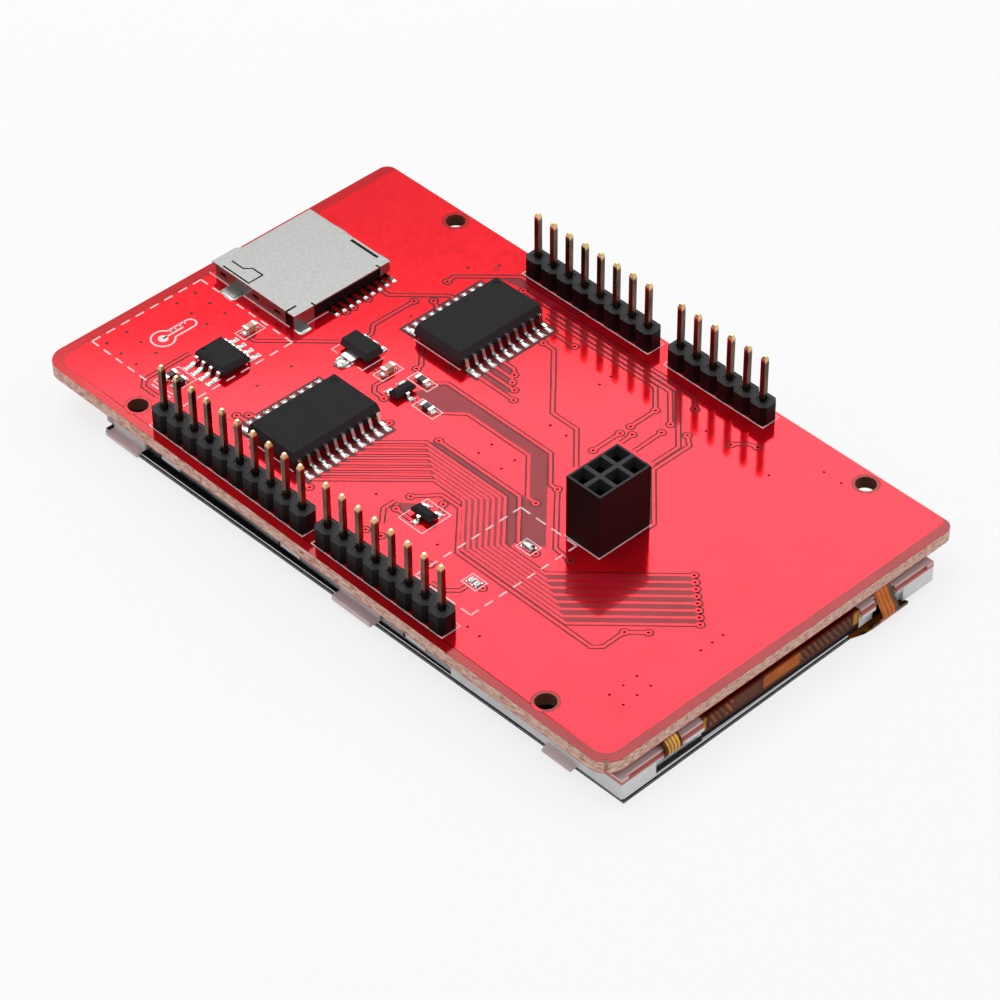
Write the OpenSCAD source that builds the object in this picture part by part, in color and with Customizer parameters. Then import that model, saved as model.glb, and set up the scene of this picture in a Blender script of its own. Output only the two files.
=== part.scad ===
// Display shield: a circuit board that lies face down, with its colour display
// and touch panel below and its pin headers, card socket and chips above.
// Origin: centre of the touch panel's front face. +X runs to the flex end.

/* [Circuit board] */
// Length of the board
board_length = 90; // [88:0.5:94]
// Margin of the board outside the near header row
near_margin = 2.45; // [2.3:0.05:2.7]
// Margin of the board outside the far header row
far_margin = 1.85; // [1.8:0.05:2.5]
// Thickness of the board
board_thickness = 1.6; // [1.2:0.1:2]
// Radius of the board's two near corners
near_corner_radius = 2.5; // [1:0.5:3]
// Radius of the board's two far corners
far_corner_radius = 1.3; // [0.8:0.1:2]
// Diameter of the four mounting holes
hole_diameter = 2.4; // [2:0.1:2.6]
// Distance between the mounting holes along the board
hole_span_x = 65; // [64:0.1:65.5]
// Distance between the two header rows, and between the holes across the board
row_span = 48.26; // [48.26:0.1:48.5]
// First mounting hole, from the card socket's end of the board
hole_start = 13.8; // [13.7:0.05:14.1]
// Gap between the board and the back of the display
board_gap = 0.85; // [0.8:0.05:1.2]

/* [Pin headers] */
// Distance from pin to pin
pitch = 2.54; // [2.54:0.01:2.54]
// Side of a square header pin
pin_side = 0.64; // [0.6:0.02:0.7]
// Height of the near pins' tips above the board
near_pin_height = 8.6; // [8:0.1:9]
// Height of the far pins' tips above the board
far_pin_height = 8.8; // [8:0.1:9]
// Height of the header's plastic body
header_height = 2.54; // [2.3:0.02:2.6]
// Chamfer on the corners of each cell of the header
header_chamfer = 0.55; // [0.3:0.05:0.7]
// Length of a pin's tail below the board
tail_length = 0.6; // [0.4:0.05:0.7]
// Diameter of the plated pin holes
pin_hole_diameter = 1.02; // [0.96:0.02:1.1]

/* [Programming socket] */
// Height of the two by three socket
socket_height = 8.5; // [8:0.1:9]
// Width of a square opening in the socket
socket_mouth = 2; // [1.8:0.05:2.1]
// Width of the square bore below the opening
socket_bore = 1.1; // [1:0.05:1.2]

/* [Card socket] */
// Length of the steel shell along the way in
shell_length = 14.3; // [14.2:0.1:14.6]
// Width of the steel shell
shell_width = 14.65; // [14.5:0.05:15]
// Height of the steel shell
shell_height = 1.9; // [1.85:0.05:2.1]
// Thickness of the sheet steel
sheet = 0.2; // [0.15:0.05:0.2]
// Way that the ejector slides
eject_travel = 3; // [2:0.1:3]

/* [Chips] */
// Height of the two bus chips
bus_chip_height = 2.3; // [2:0.05:2.5]
// Height of the small chips
small_chip_height = 1.5; // [1.3:0.05:1.6]
// Height of the transistors
transistor_height = 1.05; // [0.95:0.05:1.1]

/* [Display] */
// Length of the display
display_length = 82; // [81:0.1:83]
// Width of the display
display_width = 47.1; // [46.8:0.1:47.5]
// Gap from the board's end to the display's near end
display_setback = 8.5; // [8:0.1:9]
// Shift of the display towards the near edge
display_shift = 1.3; // [0.9:0.1:1.5]
// Turn of the touch panel against the display, as it is stuck down, in degrees
touch_turn = 0.75; // [0:0.05:0.8]
// Thickness of each sheet of display glass
cell_glass = 0.5; // [0.4:0.05:0.55]
// Thickness of the light guide
guide_thickness = 0.8; // [0.6:0.05:1]
// Thickness of the touch panel's glass
touch_glass_thickness = 0.55; // [0.5:0.05:0.7]
// Thickness of the touch panel's film
touch_film_thickness = 0.2; // [0.15:0.01:0.25]

/* [Hidden] */
$fn = 48;
tiny = 0.01;
over = 1;

// Stack of the display, upwards from the front face
spacer_thickness = 0.05;
tape_thickness = 0.15;
polarizer_thickness = 0.15;
film_thickness = 0.1;
tray_thickness = 0.2;
z_spacer = touch_film_thickness;
z_touch_glass = z_spacer + spacer_thickness;
z_panel_tape = z_touch_glass + touch_glass_thickness;
z_front = z_panel_tape + tape_thickness;
z_polarizer = z_front + 0.02;
z_filter = z_polarizer + polarizer_thickness;
z_array = z_filter + cell_glass;
z_shelf = z_array + cell_glass;
z_prism_upper = z_shelf + polarizer_thickness;
z_prism_lower = z_prism_upper + film_thickness;
z_diffuser = z_prism_lower + film_thickness;
z_guide = z_diffuser + film_thickness;
z_reflector = z_guide + guide_thickness;
z_tray = z_reflector + film_thickness;
z_back = z_tray + tray_thickness;
z_board = z_back + board_gap;
z_top = z_board + board_thickness;

// The board's own datum: the pin grid's start, the middle between the header rows, its top
hole_on_grid = 13.97;
board_start = hole_on_grid - hole_start;
datum_x = -(display_setback + display_length / 2) - board_start;
datum_y = display_shift;
board_near = -row_span / 2 - near_margin;
board_width = row_span + near_margin + far_margin;

module on_board(x = 0, y = 0, z = 0)
  translate([datum_x + x, datum_y + y, z_top + z]) children();

// ---------- small shapes ----------

// A box given by its least and greatest corners
module span_box(low, high) translate(low) cube(high - low);

// A flat sheet centred on the display
module sheet_at(length, width, z, thickness, shift = 0)
  translate([shift - length / 2, -width / 2, z]) cube([length, width, thickness]);

// Points round a bend
function bend(centre, r, from, to, steps = 5) =
  [for (i = [0:steps]) let (a = from + (to - from) * i / steps) centre + r * [cos(a), sin(a)]];

// A bent strip of even thickness, drawn along the middle of its section
function heading(path, i) =
  let (a = path[max(0, i - 1)], b = path[min(len(path) - 1, i + 1)]) (b - a) / norm(b - a);
function beside(path, i, out) = let (h = heading(path, i)) path[i] + out * [-h[1], h[0]];

module strip(path, thickness)
  polygon(concat([for (i = [0:len(path) - 1]) beside(path, i, thickness / 2)],
                 [for (i = [len(path) - 1:-1:0]) beside(path, i, -thickness / 2)]));

// A profile drawn in X and Z, extruded along Y between two places
module along_y(from, to)
  translate([0, to, 0]) rotate([90, 0, 0]) linear_extrude(height = to - from) children();

// A profile drawn in Y and Z, extruded along X between two places
module along_x(from, to)
  translate([from, 0, 0]) rotate([90, 0, 90]) linear_extrude(height = to - from) children();

// ---------- circuit board ----------

// First pins of the headers, from the board's short end
header_10_start = 18.796;
header_8_near_start = 45.72;
header_8_far_start = 27.94;
header_6_start = 50.8;
socket_x = 64.897;
socket_y = -1.27;
nib_width = 0.45;
nib_depth = 0.4;

module board_blank() {
  a = near_corner_radius;
  b = far_corner_radius;
  y0 = board_near;
  y1 = board_near + board_width;
  m = a + b;
  union() {
    translate([a, y0]) square([board_length - 2 * a, board_width - m]);
    translate([0, y0 + a]) square([board_length, board_width - m]);
    translate([b, y0 + m]) square([board_length - 2 * b, board_width - m]);
    for (x = [a, board_length - a]) translate([x, y0 + a]) circle(a);
    for (x = [b, board_length - b]) translate([x, y1 - b]) circle(b);
  }
}

module row_holes(start, count, y)
  for (i = [0:count - 1]) translate([start + i * pitch, y]) circle(d = pin_hole_diameter);

module circuit_board()
  color("crimson") on_board(z = -board_thickness) linear_extrude(height = board_thickness)
    difference() {
      translate([board_start, 0]) board_blank();
      for (x = [0, hole_span_x]) for (y = [-1, 1])
        translate([hole_on_grid + x, y * row_span / 2]) circle(d = hole_diameter);
      row_holes(header_10_start, 10, -row_span / 2);
      row_holes(header_8_near_start, 8, -row_span / 2);
      row_holes(header_8_far_start, 8, row_span / 2);
      row_holes(header_6_start, 6, row_span / 2);
      for (x = [-1, 1]) for (y = [-1, 0, 1])
        translate([socket_x + x * pitch / 2, socket_y + y * pitch]) circle(d = pin_hole_diameter);
      // notch that the breakaway tab left at the near corner
      translate([board_start + board_length - near_corner_radius, board_near + near_corner_radius]) rotate(-45)
        translate([near_corner_radius - nib_depth, -nib_width / 2]) square([1, nib_width]);
    }

// ---------- pin headers ----------

// One row of eight-sided cells with the pins' square bores
module header_body(start, count, y) {
  c = header_chamfer;
  h = pitch / 2;
  cell = [[-h + c, -h], [h - c, -h], [h, -h + c], [h, h - c],
          [h - c, h], [-h + c, h], [-h, h - c], [-h, -h + c]];
  on_board(start, y) difference() {
    for (i = [0:count - 1]) translate([i * pitch, 0, 0]) linear_extrude(height = header_height) polygon(cell);
    for (i = [0:count - 1]) {
      translate([i * pitch, 0, header_height / 2])
        cube([pin_side, pin_side, header_height + over], center = true);
      // shallow round dip round the pin
      translate([i * pitch, 0, header_height - 0.12]) cylinder(h = 1, d = 1.5);
    }
  }
}

// A square pin with chamfered ends, along Z
module square_pin(bottom, top) {
  s = pin_side / 2;
  e = pin_side / 4;
  taper = 0.45;
  side = [[-s, bottom + taper], [-e, bottom], [e, bottom], [s, bottom + taper],
          [s, top - taper], [e, top], [-e, top], [-s, top - taper]];
  intersection() {
    along_y(-s, s) polygon(side);
    along_x(-s, s) polygon(side);
  }
}

module header_pins(start, count, y, height)
  on_board(start, y) for (i = [0:count - 1])
    translate([i * pitch, 0, 0]) square_pin(-board_thickness - tail_length, height);

module header_10_body() color("dimgray") header_body(header_10_start, 10, -row_span / 2);
module header_10_pins() color("goldenrod") header_pins(header_10_start, 10, -row_span / 2, near_pin_height);
module header_8_near_body() color("dimgray") header_body(header_8_near_start, 8, -row_span / 2);
module header_8_near_pins() color("goldenrod") header_pins(header_8_near_start, 8, -row_span / 2, near_pin_height);
module header_8_far_body() color("dimgray") header_body(header_8_far_start, 8, row_span / 2);
module header_8_far_pins() color("goldenrod") header_pins(header_8_far_start, 8, row_span / 2, far_pin_height);
module header_6_body() color("dimgray") header_body(header_6_start, 6, row_span / 2);
module header_6_pins() color("goldenrod") header_pins(header_6_start, 6, row_span / 2, far_pin_height);

// ---------- two by three programming socket ----------

socket_floor = 1.2;
funnel_depth = 0.9;

// A square funnel that narrows downwards from z = 0
module funnel(wide, narrow, depth) {
  w = wide / 2;
  n = narrow / 2;
  side = [[-n, -depth], [n, -depth], [w, 0], [w, over], [-w, over], [-w, 0]];
  intersection() {
    along_y(-w, w) polygon(side);
    along_x(-w, w) polygon(side);
  }
}

module socket_places()
  for (x = [-1, 1]) for (y = [-1, 0, 1]) translate([x * pitch / 2, y * pitch, 0]) children();

module program_socket_body()
  color("dimgray") on_board(socket_x, socket_y) difference() {
    translate([-pitch, -1.5 * pitch, 0]) cube([2 * pitch, 3 * pitch, socket_height]);
    socket_places() {
      translate([0, 0, socket_height]) funnel(socket_mouth, socket_bore, funnel_depth);
      translate([-socket_bore / 2, -socket_bore / 2, socket_floor])
        cube([socket_bore, socket_bore, socket_height]);
      // slot for the contact's tail
      translate([-pin_side / 2, -0.15, -over]) cube([pin_side, 0.3, socket_height]);
    }
  }

contact_thickness = 0.2;

// A contact with two leaves that lean together at the top, on one flat tail
module fork_contact() {
  w = socket_bore / 2;
  t = contact_thickness;
  top = socket_height - funnel_depth - 0.6;
  z0 = socket_floor;
  leaf = [[-w, z0], [-w + t, z0 + t], [-w + t, z0 + 1], [-t * 0.75, top - 1], [-w + t, top],
          [-w, top], [-t * 1.75, top - 1], [-w, z0 + 1]];
  along_y(-0.3, 0.3) {
    polygon(leaf);
    mirror([1, 0]) polygon(leaf);
    translate([-w, z0]) square([2 * w, t]);
  }
  span_box([-pin_side / 2, -0.15, -board_thickness - tail_length], [pin_side / 2, 0.15, z0 + tiny]);
}

module program_socket_contacts()
  color("goldenrod") on_board(socket_x, socket_y) socket_places() fork_contact();

// ---------- memory card socket ----------
// Its own datum: the shell's open near corner, on the board. X runs the way in.

shell_x = 1.8;
shell_y = -2.85;
foot_out = 1.4;
seat = 0.02;
roof = shell_height - sheet;
lip_step = 0.5;
lip_width = 3.9;
contact_pitch = 1.1;
contact_count = 9;
first_contact = 5.3;
contact_width = 0.45;

module at_card_socket() on_board(shell_x, shell_y) children();

// Outline of the shell's roof, with the lip that leads the card in
module roof_outline()
  polygon([[0, 0], [0, lip_width - 0.4], [lip_step, lip_width + 0.4], [lip_step, shell_width],
           [shell_length, shell_width], [shell_length, 0]]);

// The leaf that presses on the ejector's link: a crank shape, held at the front
leaf_root = 1.6;
leaf_tip = 5.95;
module leaf_slot() {
  narrow_low = 0.45;
  narrow_high = 1.55;
  wide_high = 2.35;
  gap = 0.22;
  difference() {
    polygon([[leaf_root, narrow_low - gap], [leaf_tip + gap, narrow_low - gap],
             [leaf_tip + gap, wide_high + gap], [leaf_tip - 1.7, wide_high + gap],
             [leaf_tip - 2.4, narrow_high + gap], [leaf_root, narrow_high + gap]]);
    polygon([[leaf_root - 1, narrow_low], [leaf_tip, narrow_low], [leaf_tip, wide_high],
             [leaf_tip - 1.6, wide_high], [leaf_tip - 2.3, narrow_high], [leaf_root - 1, narrow_high]]);
  }
}

module shell_foot(x0, x1, y0, y1)
  span_box([x0, y0, seat], [x1, y1, seat + sheet]);

module card_shell()
  color("silver") at_card_socket() {
    side_end = 12.8;
    side_start = 0.6;
    difference() {
      translate([0, 0, roof]) linear_extrude(height = sheet) difference() {
        roof_outline();
        leaf_slot();
        // slit beside the near rear leg
        translate([side_end, -tiny]) square([0.28, 1.5]);
        // slot beside the far spring arm
        translate([8.2, shell_width - sheet - 0.5]) square([4.6, 0.4]);
        // notches where the rear legs bend down
        for (y = [3.1, shell_width - 1.6]) translate([shell_length - 0.6, y - 0.12]) square([1, 0.24]);
      }
    }
    // near side, with latch windows and the foot's relief
    difference() {
      span_box([side_start, 0, seat], [side_end, sheet, roof]);
      for (x = [1.9, 7.6, 11.4]) span_box([x - 0.5, -1, 0.75], [x + 0.5, 1, 1.2]);
    }
    // far side, with its spring arm cut free
    difference() {
      span_box([side_start, shell_width - sheet, seat], [side_end, shell_width, roof]);
      for (x = [3.2, 6.6]) span_box([x - 0.5, shell_width - 1, 0.75], [x + 0.5, shell_width + 1, 1.2]);
      span_box([8.2, shell_width - 1, 0.7], [12.2, shell_width + 1, 0.85]);
    }
    // rear legs
    span_box([shell_length - sheet, 0, seat], [shell_length, 3, roof]);
    span_box([shell_length - sheet, shell_width - 1.5, 0.55], [shell_length, shell_width, roof]);
    // soldered feet
    shell_foot(3.2, 5.3, -foot_out, tiny);
    shell_foot(3.2, 5.3, shell_width - tiny, shell_width + foot_out);
    shell_foot(shell_length - tiny, shell_length + 0.9, 0, 1.5);
    shell_foot(10.6, 12.6, shell_width - tiny, shell_width + foot_out);
  }

// Plastic base: floor, walls beside the card, and the ejector's bay
base_floor = 0.45;
base_roof = roof - 0.02;
bay_low = 0.5;
bay_high = 2.5;
card_low = 2.75;
card_high = 13.95;
rear_wall = 1.1;
base_end = shell_length - sheet;
base_start = 1;

function contact_y(i) = first_contact + i * contact_pitch;

module card_base()
  color("black") at_card_socket() difference() {
    span_box([base_start, sheet, 0.04], [base_end, shell_width - sheet, base_roof]);
    // way in for the card
    span_box([base_start - 1, card_low, base_floor + 0.1], [base_end - rear_wall, card_high, base_roof + 1]);
    // bay for the ejector, open to the card along part of its length
    span_box([base_start + 0.8, bay_low, base_floor], [base_end - rear_wall, bay_high, base_roof + 1]);
    span_box([4.6, bay_high - 1, base_floor + 0.1], [base_end - rear_wall, card_low + 1, base_roof + 1]);
    // openings in the floor under the contact springs
    for (i = [0:contact_count - 2])
      span_box([5.2, contact_y(i) - 0.35, -1], [11.2, contact_y(i) + 0.35, base_floor + 1]);
    // slots that hold the contacts' tails
    for (i = [0:contact_count - 1])
      span_box([11.1, contact_y(i) - contact_width / 2, -1],
               [base_end + 1, contact_y(i) + contact_width / 2, 0.26]);
    // pivot hole and hollow for the link
    translate([link_x, link_y, base_floor]) cylinder(h = 3, d = link_wire + 0.1, $fn = 24);
    span_box([link_x - 0.3, link_y - 0.3, slider_high - 0.1], [base_start + 1, link_y + 0.3, base_roof + 1]);
    // clearance over the far rear tail
    span_box([base_end - 0.4, shell_width - 1.4, -1], [base_end + 1, shell_width, 0.3]);
  }

// One contact: a soldered tail, a flat stretch in the base, and a bowed spring
contact_sheet = 0.15;
module contact_profile() {
  t = contact_sheet;
  z0 = 0.06;
  polygon([[shell_length + 1.2, z0], [shell_length + 1.2, z0 + t], [10.9, z0 + t], [7.1, 0.98], [6.7, 1.03],
           [6.3, 0.98], [5.5, 0.7], [5.5, 0.7 - t], [6.3, 0.98 - t], [6.7, 1.03 - t], [7.1, 0.98 - t],
           [10.9, z0]]);
}

module card_contacts()
  color("gold") at_card_socket() {
    for (i = [0:contact_count - 2])
      along_y(contact_y(i) - contact_width / 2 + 0.03, contact_y(i) + contact_width / 2 - 0.03) contact_profile();
    // short contact that feels the card
    span_box([11.6, contact_y(8) - contact_width / 2 + 0.03, 0.06],
             [shell_length + 1.2, contact_y(8) + contact_width / 2 - 0.03, 0.06 + contact_sheet]);
  }

// Ejector: a block in the bay with a cam groove on top and a toe in the card's way
slider_x = 2;
slider_length = 5.2;
slider_low = base_floor + 0.08;
slider_high = 1.42;
slider_play = 0.12;
toe_end = 4.4;
groove_floor = 0.8;
groove_start = 0.5;
groove_low = 1.45;
groove_high = 2.05;
link_wire = 0.22;
link_x = base_start + 0.45;
link_y = (groove_low + groove_high) / 2;
spring_radius = 0.3;
spring_wire = 0.14;
spring_y = 0.99;
spring_z = 0.98;

module card_slider()
  color("ivory") at_card_socket() {
    y0 = bay_low + slider_play;
    y1 = bay_high - slider_play;
    difference() {
      union() {
        span_box([slider_x, y0, slider_low], [slider_x + slider_length, y1, slider_high]);
        // toe that the card pushes
        span_box([slider_x + slider_length - 0.9, y1 - tiny, slider_low + 0.1],
                 [slider_x + slider_length, toe_end, slider_high]);
      }
      // cam groove
      span_box([slider_x + groove_start, groove_low, groove_floor],
               [slider_x + slider_length + 1, groove_high, slider_high + 1]);
    }
    // spring's seat pin
    translate([slider_x + slider_length - tiny, spring_y, spring_z]) rotate([0, 90, 0]) cylinder(h = 0.5, d = 0.4);
  }

// Helical spring: a six-sided wire swept round the turns
spring_turns = 7;
spring_steps = 12;
spring_sides = 6;
spring_start = slider_x + slider_length + 0.03;
spring_end = base_end - rear_wall - 0.03;

function turn_point(i, k) =
  let (n = spring_turns * spring_steps,
       a = 360 * i / spring_steps,
       b = 360 * k / spring_sides,
       run = spring_end - spring_start - 2 * spring_wire,
       r = spring_radius + spring_wire / 2 * cos(b))
  [spring_start + spring_wire + run * i / n + spring_wire / 2 * sin(b), r * cos(a), r * sin(a)];

module card_spring() {
  n = spring_turns * spring_steps;
  m = spring_sides;
  points = [for (i = [0:n]) for (k = [0:m - 1]) turn_point(i, k)];
  sides = [for (i = [0:n - 1]) for (k = [0:m - 1])
    [i * m + k, i * m + (k + 1) % m, (i + 1) * m + (k + 1) % m, (i + 1) * m + k]];
  ends = [[for (k = [0:m - 1]) m - 1 - k], [for (k = [0:m - 1]) n * m + k]];
  color("gray") at_card_socket() translate([0, spring_y, spring_z])
    polyhedron(points = points, faces = concat(sides, ends), convexity = 6);
}

// Bent wire: one end turns in the base, the free end follows the cam groove
module card_link()
  color("gray") at_card_socket() {
    z = slider_high + 0.03;
    end = slider_x + groove_start + eject_travel + link_wire;
    translate([link_x, link_y - link_wire / 2, z]) cube([end - link_x, link_wire, link_wire]);
    for (x = [link_x, end]) translate([x, link_y, z + link_wire - 0.8]) cylinder(h = 0.8, d = link_wire, $fn = 24);
  }

// ---------- moulded chips ----------

pad_height = 0.08;
lead_band = 0.3;
draft = 0.25;

// A moulded body whose four sides taper up and down from a band at mid height
module moulded_body(length, width, low, high) {
  mid = (low + high) / 2;
  function side(w) = [[-w / 2 + draft, low], [w / 2 - draft, low], [w / 2, mid - lead_band / 2],
    [w / 2, mid + lead_band / 2], [w / 2 - draft, high], [-w / 2 + draft, high],
    [-w / 2, mid + lead_band / 2], [-w / 2, mid - lead_band / 2]];
  intersection() {
    along_y(-width, width) polygon(side(length));
    along_x(-length, length) polygon(side(width));
  }
}

// Side view of a gull wing lead that leaves a body at x = root and ends at x = toe
function gull_wing(root, toe, mid, t) =
  let (f = min(0.7, (toe - root) * 0.5), z0 = pad_height)
  [[root, mid - t / 2], [root + 0.25, mid - t / 2], [toe - f - 0.1, z0], [toe, z0], [toe, z0 + t],
   [toe - f, z0 + t], [root + 0.35, mid + t / 2], [root, mid + t / 2]];

// A row of gull wing leads along Y, on the +X side
module lead_row(count, gap, root, toe, mid, wide, t)
  for (i = [0:count - 1])
    translate([0, (i - (count - 1) / 2) * gap, 0])
      along_y(-wide / 2, wide / 2) polygon(gull_wing(root, toe, mid, t));

module both_sides() {
  children();
  rotate(180) children();
}

// Two wide twenty-lead chips, the bus buffers
bus_chip_x = 30.6;
bus_chip_a_y = 12.15;
bus_chip_b_y = -12.7;
bus_chip_length = 12.8;
bus_chip_width = 7.5;
bus_lead_span = 10.3;
bus_gap = 1.27;
stand_off = 0.15;

module bus_chip_body(y)
  on_board(bus_chip_x, y) difference() {
    moulded_body(bus_chip_width, bus_chip_length, stand_off, bus_chip_height);
    translate([-2.55, 5.25, bus_chip_height - 0.08]) cylinder(h = 1, d = 0.95);
  }

module bus_chip_leads(y) {
  mid = (stand_off + bus_chip_height) / 2;
  on_board(bus_chip_x, y) both_sides()
    lead_row(10, bus_gap, bus_chip_width / 2, bus_lead_span / 2, mid, 0.42, 0.25);
}

module bus_chip_a_body() color("darkslategray") bus_chip_body(bus_chip_a_y);
module bus_chip_a_leads() color("gainsboro") bus_chip_leads(bus_chip_a_y);
module bus_chip_b_body() color("darkslategray") bus_chip_body(bus_chip_b_y);
module bus_chip_b_leads() color("gainsboro") bus_chip_leads(bus_chip_b_y);

// Eight-lead temperature sensor, leads towards the long edges
sensor_x = 14.78;
sensor_y = -12.5;
sensor_length = 4.9;
sensor_width = 3.9;
sensor_lead_span = 6;

module sensor_body()
  color("darkslategray") on_board(sensor_x, sensor_y) difference() {
    moulded_body(sensor_length, sensor_width, stand_off, small_chip_height);
    translate([-1.75, -1.2, small_chip_height - 0.08]) cylinder(h = 1, d = 0.55);
  }

module sensor_leads()
  color("gainsboro") on_board(sensor_x, sensor_y) rotate(90) both_sides()
    lead_row(4, bus_gap, sensor_width / 2, sensor_lead_span / 2, (stand_off + small_chip_height) / 2, 0.42, 0.2);

// Voltage regulator with one wide heat tab and three leads
regulator_x = 24.3;
regulator_y = 0;
regulator_length = 4.5;
regulator_width = 2.5;
tab_thickness = 0.4;
tab_width = 1.75;

module regulator_body()
  color("darkslategray") on_board(regulator_x, regulator_y) {
    w = regulator_width / 2;
    l = regulator_length / 2;
    z0 = pad_height + tab_thickness;
    h = small_chip_height;
    intersection() {
      along_x(-l, l) polygon([[-w, z0], [w, z0], [w, z0 + 0.3], [w - 0.2, h], [-w + 0.2, h], [-w, z0 + 0.3]]);
      along_y(-w, w) polygon([[-l, z0], [l, z0], [l, z0 + 0.3], [l - 0.2, h], [-l + 0.2, h], [-l, z0 + 0.3]]);
    }
  }

module regulator_leads()
  color("gainsboro") on_board(regulator_x, regulator_y, pad_height) linear_extrude(height = tab_thickness) {
    translate([-tab_width / 2, -2.35]) square([tab_width, 3.2]);
    for (x = [-1.5, 0, 1.5]) translate([x - 0.22, 0.8]) square([0.44, 1.2]);
  }

// Three-lead packages: one lead at +X of the local frame, two at -X
transistor_x = 32.9;
transistor_y = -1.65;
monitor_x = 49.65;
monitor_y = -13.85;
package_length = 2.9;
package_width = 1.35;
package_lead_span = 2.4;

module three_lead_body()
  moulded_body(package_width, package_length, 0.1, transistor_height);

module three_lead_leads() {
  mid = (0.1 + transistor_height) / 2;
  root = package_width / 2;
  toe = package_lead_span / 2;
  lead_row(1, 1, root, toe, mid, 0.42, 0.14);
  rotate(180) lead_row(2, 1.9, root, toe, mid, 0.42, 0.14);
}

module transistor_body() color("darkslategray") on_board(transistor_x, transistor_y) three_lead_body();
module transistor_leads() color("gainsboro") on_board(transistor_x, transistor_y) three_lead_leads();
module monitor_body() color("darkslategray") on_board(monitor_x, monitor_y) rotate(-90) three_lead_body();
module monitor_leads() color("gainsboro") on_board(monitor_x, monitor_y) rotate(-90) three_lead_leads();

// ---------- chip resistors and capacitors ----------

chip_length = 1.6;
chip_width = 0.8;
cap_length = 0.32;
cap_wrap = 0.02;
resistor_height = 0.5;
capacitor_height = 0.8;
// place and turn of each: x, y, angle
resistors = [[36.8, -1.5, 0], [14.3, -18.35, 90], [12.75, -18.35, 90], [32.95, 1.3, 0]];
capacitors = [[29, -0.25, 90], [12.7, -6.6, 90]];

module at_each(places)
  for (p = places) on_board(p[0], p[1], pad_height) rotate(p[2]) children();

module chip_core(height)
  translate([-chip_length / 2 + cap_length, -chip_width / 2, 0])
    cube([chip_length - 2 * cap_length, chip_width, height]);

module chip_ends(height)
  for (side = [0, 180]) rotate(side)
    translate([chip_length / 2 - cap_length, -chip_width / 2 - cap_wrap, 0])
      cube([cap_length, chip_width + 2 * cap_wrap, height + cap_wrap]);

module resistor_chips() color("dimgray") at_each(resistors) chip_core(resistor_height);
module resistor_ends() color("gainsboro") at_each(resistors) chip_ends(resistor_height);
module capacitor_chips() color("tan") at_each(capacitors) chip_core(capacitor_height);
module capacitor_ends() color("gainsboro") at_each(capacitors) chip_ends(capacitor_height);

// ---------- tinned pads ----------

toe_pad = 0.9;
lead_pad_width = 0.66;
link_pad = [0.7, 1.05];
link_gap = 0.85;
link_x_place = 60.925;
link_places = [-9.2, -17.15];

module pad(x, y, length, width) translate([x - length / 2, y - width / 2, 0]) cube([length, width, pad_height]);

module pad_row(count, gap, x0, x1, wide)
  for (i = [0:count - 1]) pad((x0 + x1) / 2, (i - (count - 1) / 2) * gap, x1 - x0, wide);

module solder_pads()
  color("gainsboro") {
    for (y = [bus_chip_a_y, bus_chip_b_y])
      on_board(bus_chip_x, y) both_sides()
        pad_row(10, bus_gap, bus_chip_width / 2 + 0.3, bus_lead_span / 2 + toe_pad, lead_pad_width);
    on_board(sensor_x, sensor_y) rotate(90) both_sides()
      pad_row(4, bus_gap, sensor_width / 2 + 0.1, sensor_lead_span / 2 + toe_pad, lead_pad_width);
    on_board(regulator_x, regulator_y) {
      pad(0, -1, 1.9, 3.2);
      translate([0, -2.6, 0]) cylinder(h = pad_height, d = 2.1);
      for (x = [-1.5, 0, 1.5]) pad(x, 1.75, 0.8, 1.2);
    }
    on_board(transistor_x, transistor_y) three_pads();
    on_board(monitor_x, monitor_y) rotate(-90) three_pads();
    for (p = concat(resistors, capacitors)) on_board(p[0], p[1]) rotate(p[2])
      for (x = [-0.75, 0.75]) pad(x, 0, 0.8, 0.9);
    // bridge pads of the backlight's supply and dimming links
    for (y = link_places) for (side = [-1, 1])
      on_board(link_x_place + side * link_gap / 2, y) pad(0, 0, link_pad[0], link_pad[1]);
  }

module three_pads() {
  pad(1.25, 0, 0.9, 0.8);
  for (y = [-0.95, 0.95]) pad(-1.25, y, 0.9, 0.8);
}

// ---------- display ----------

steel = 0.25;
wall = 1.2;
side_inset = 0.5;
// where the steel tray's side walls end, from the middle of the display
tray_wall_end = 15.8;
// ledge along the end wall, between the corner posts
end_step = 0.3;
end_drop = 0.47;
post = 1;
// face of the wall where a flex passes outside it
flex_recess = 0.7;
half_l = display_length / 2;
half_w = display_width / 2;
// the glass cell, inside the frame
cell_width = display_width - 2 * (wall + side_inset) - 0.2;
array_length = display_length - wall - 0.75;
ledge = 4.5;
filter_length = array_length - ledge;
cell_start = -half_l + wall + 0.15;
window_length = filter_length - 3;
window_width = cell_width - 2.6;
window_start = cell_start + 1.5;
guide_width = cell_width - 0.6;
guide_length = array_length - 4;

// Snap hooks and the windows that take them, as places along X
hook_places = [-30, -10, 10];
hook_window = 3.7;
hook_low = 0.25;

// Ears on the frame's long sides: start and end along X
ears = [[-39.5, -34.1], [-1.45, 4.6], [30.35, 34.6]];

// Slot under the frame's end wall that the flexes leave by, and its two higher ends
end_gap = [-18.6, 18.8];
slot_top = 2.5;
arm_slot_top = 2.8;
arm_slots = [[end_gap[0], -14.25], [17.4, end_gap[1]]];
// The flexes' stretches along Y
display_flex_y = [-11.4, 12.2];
backlight_arm = [-17.4, -14.9];
tail_wide = [10.5, 19.1];
tail_arm = [14.4, 16.9];

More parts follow.
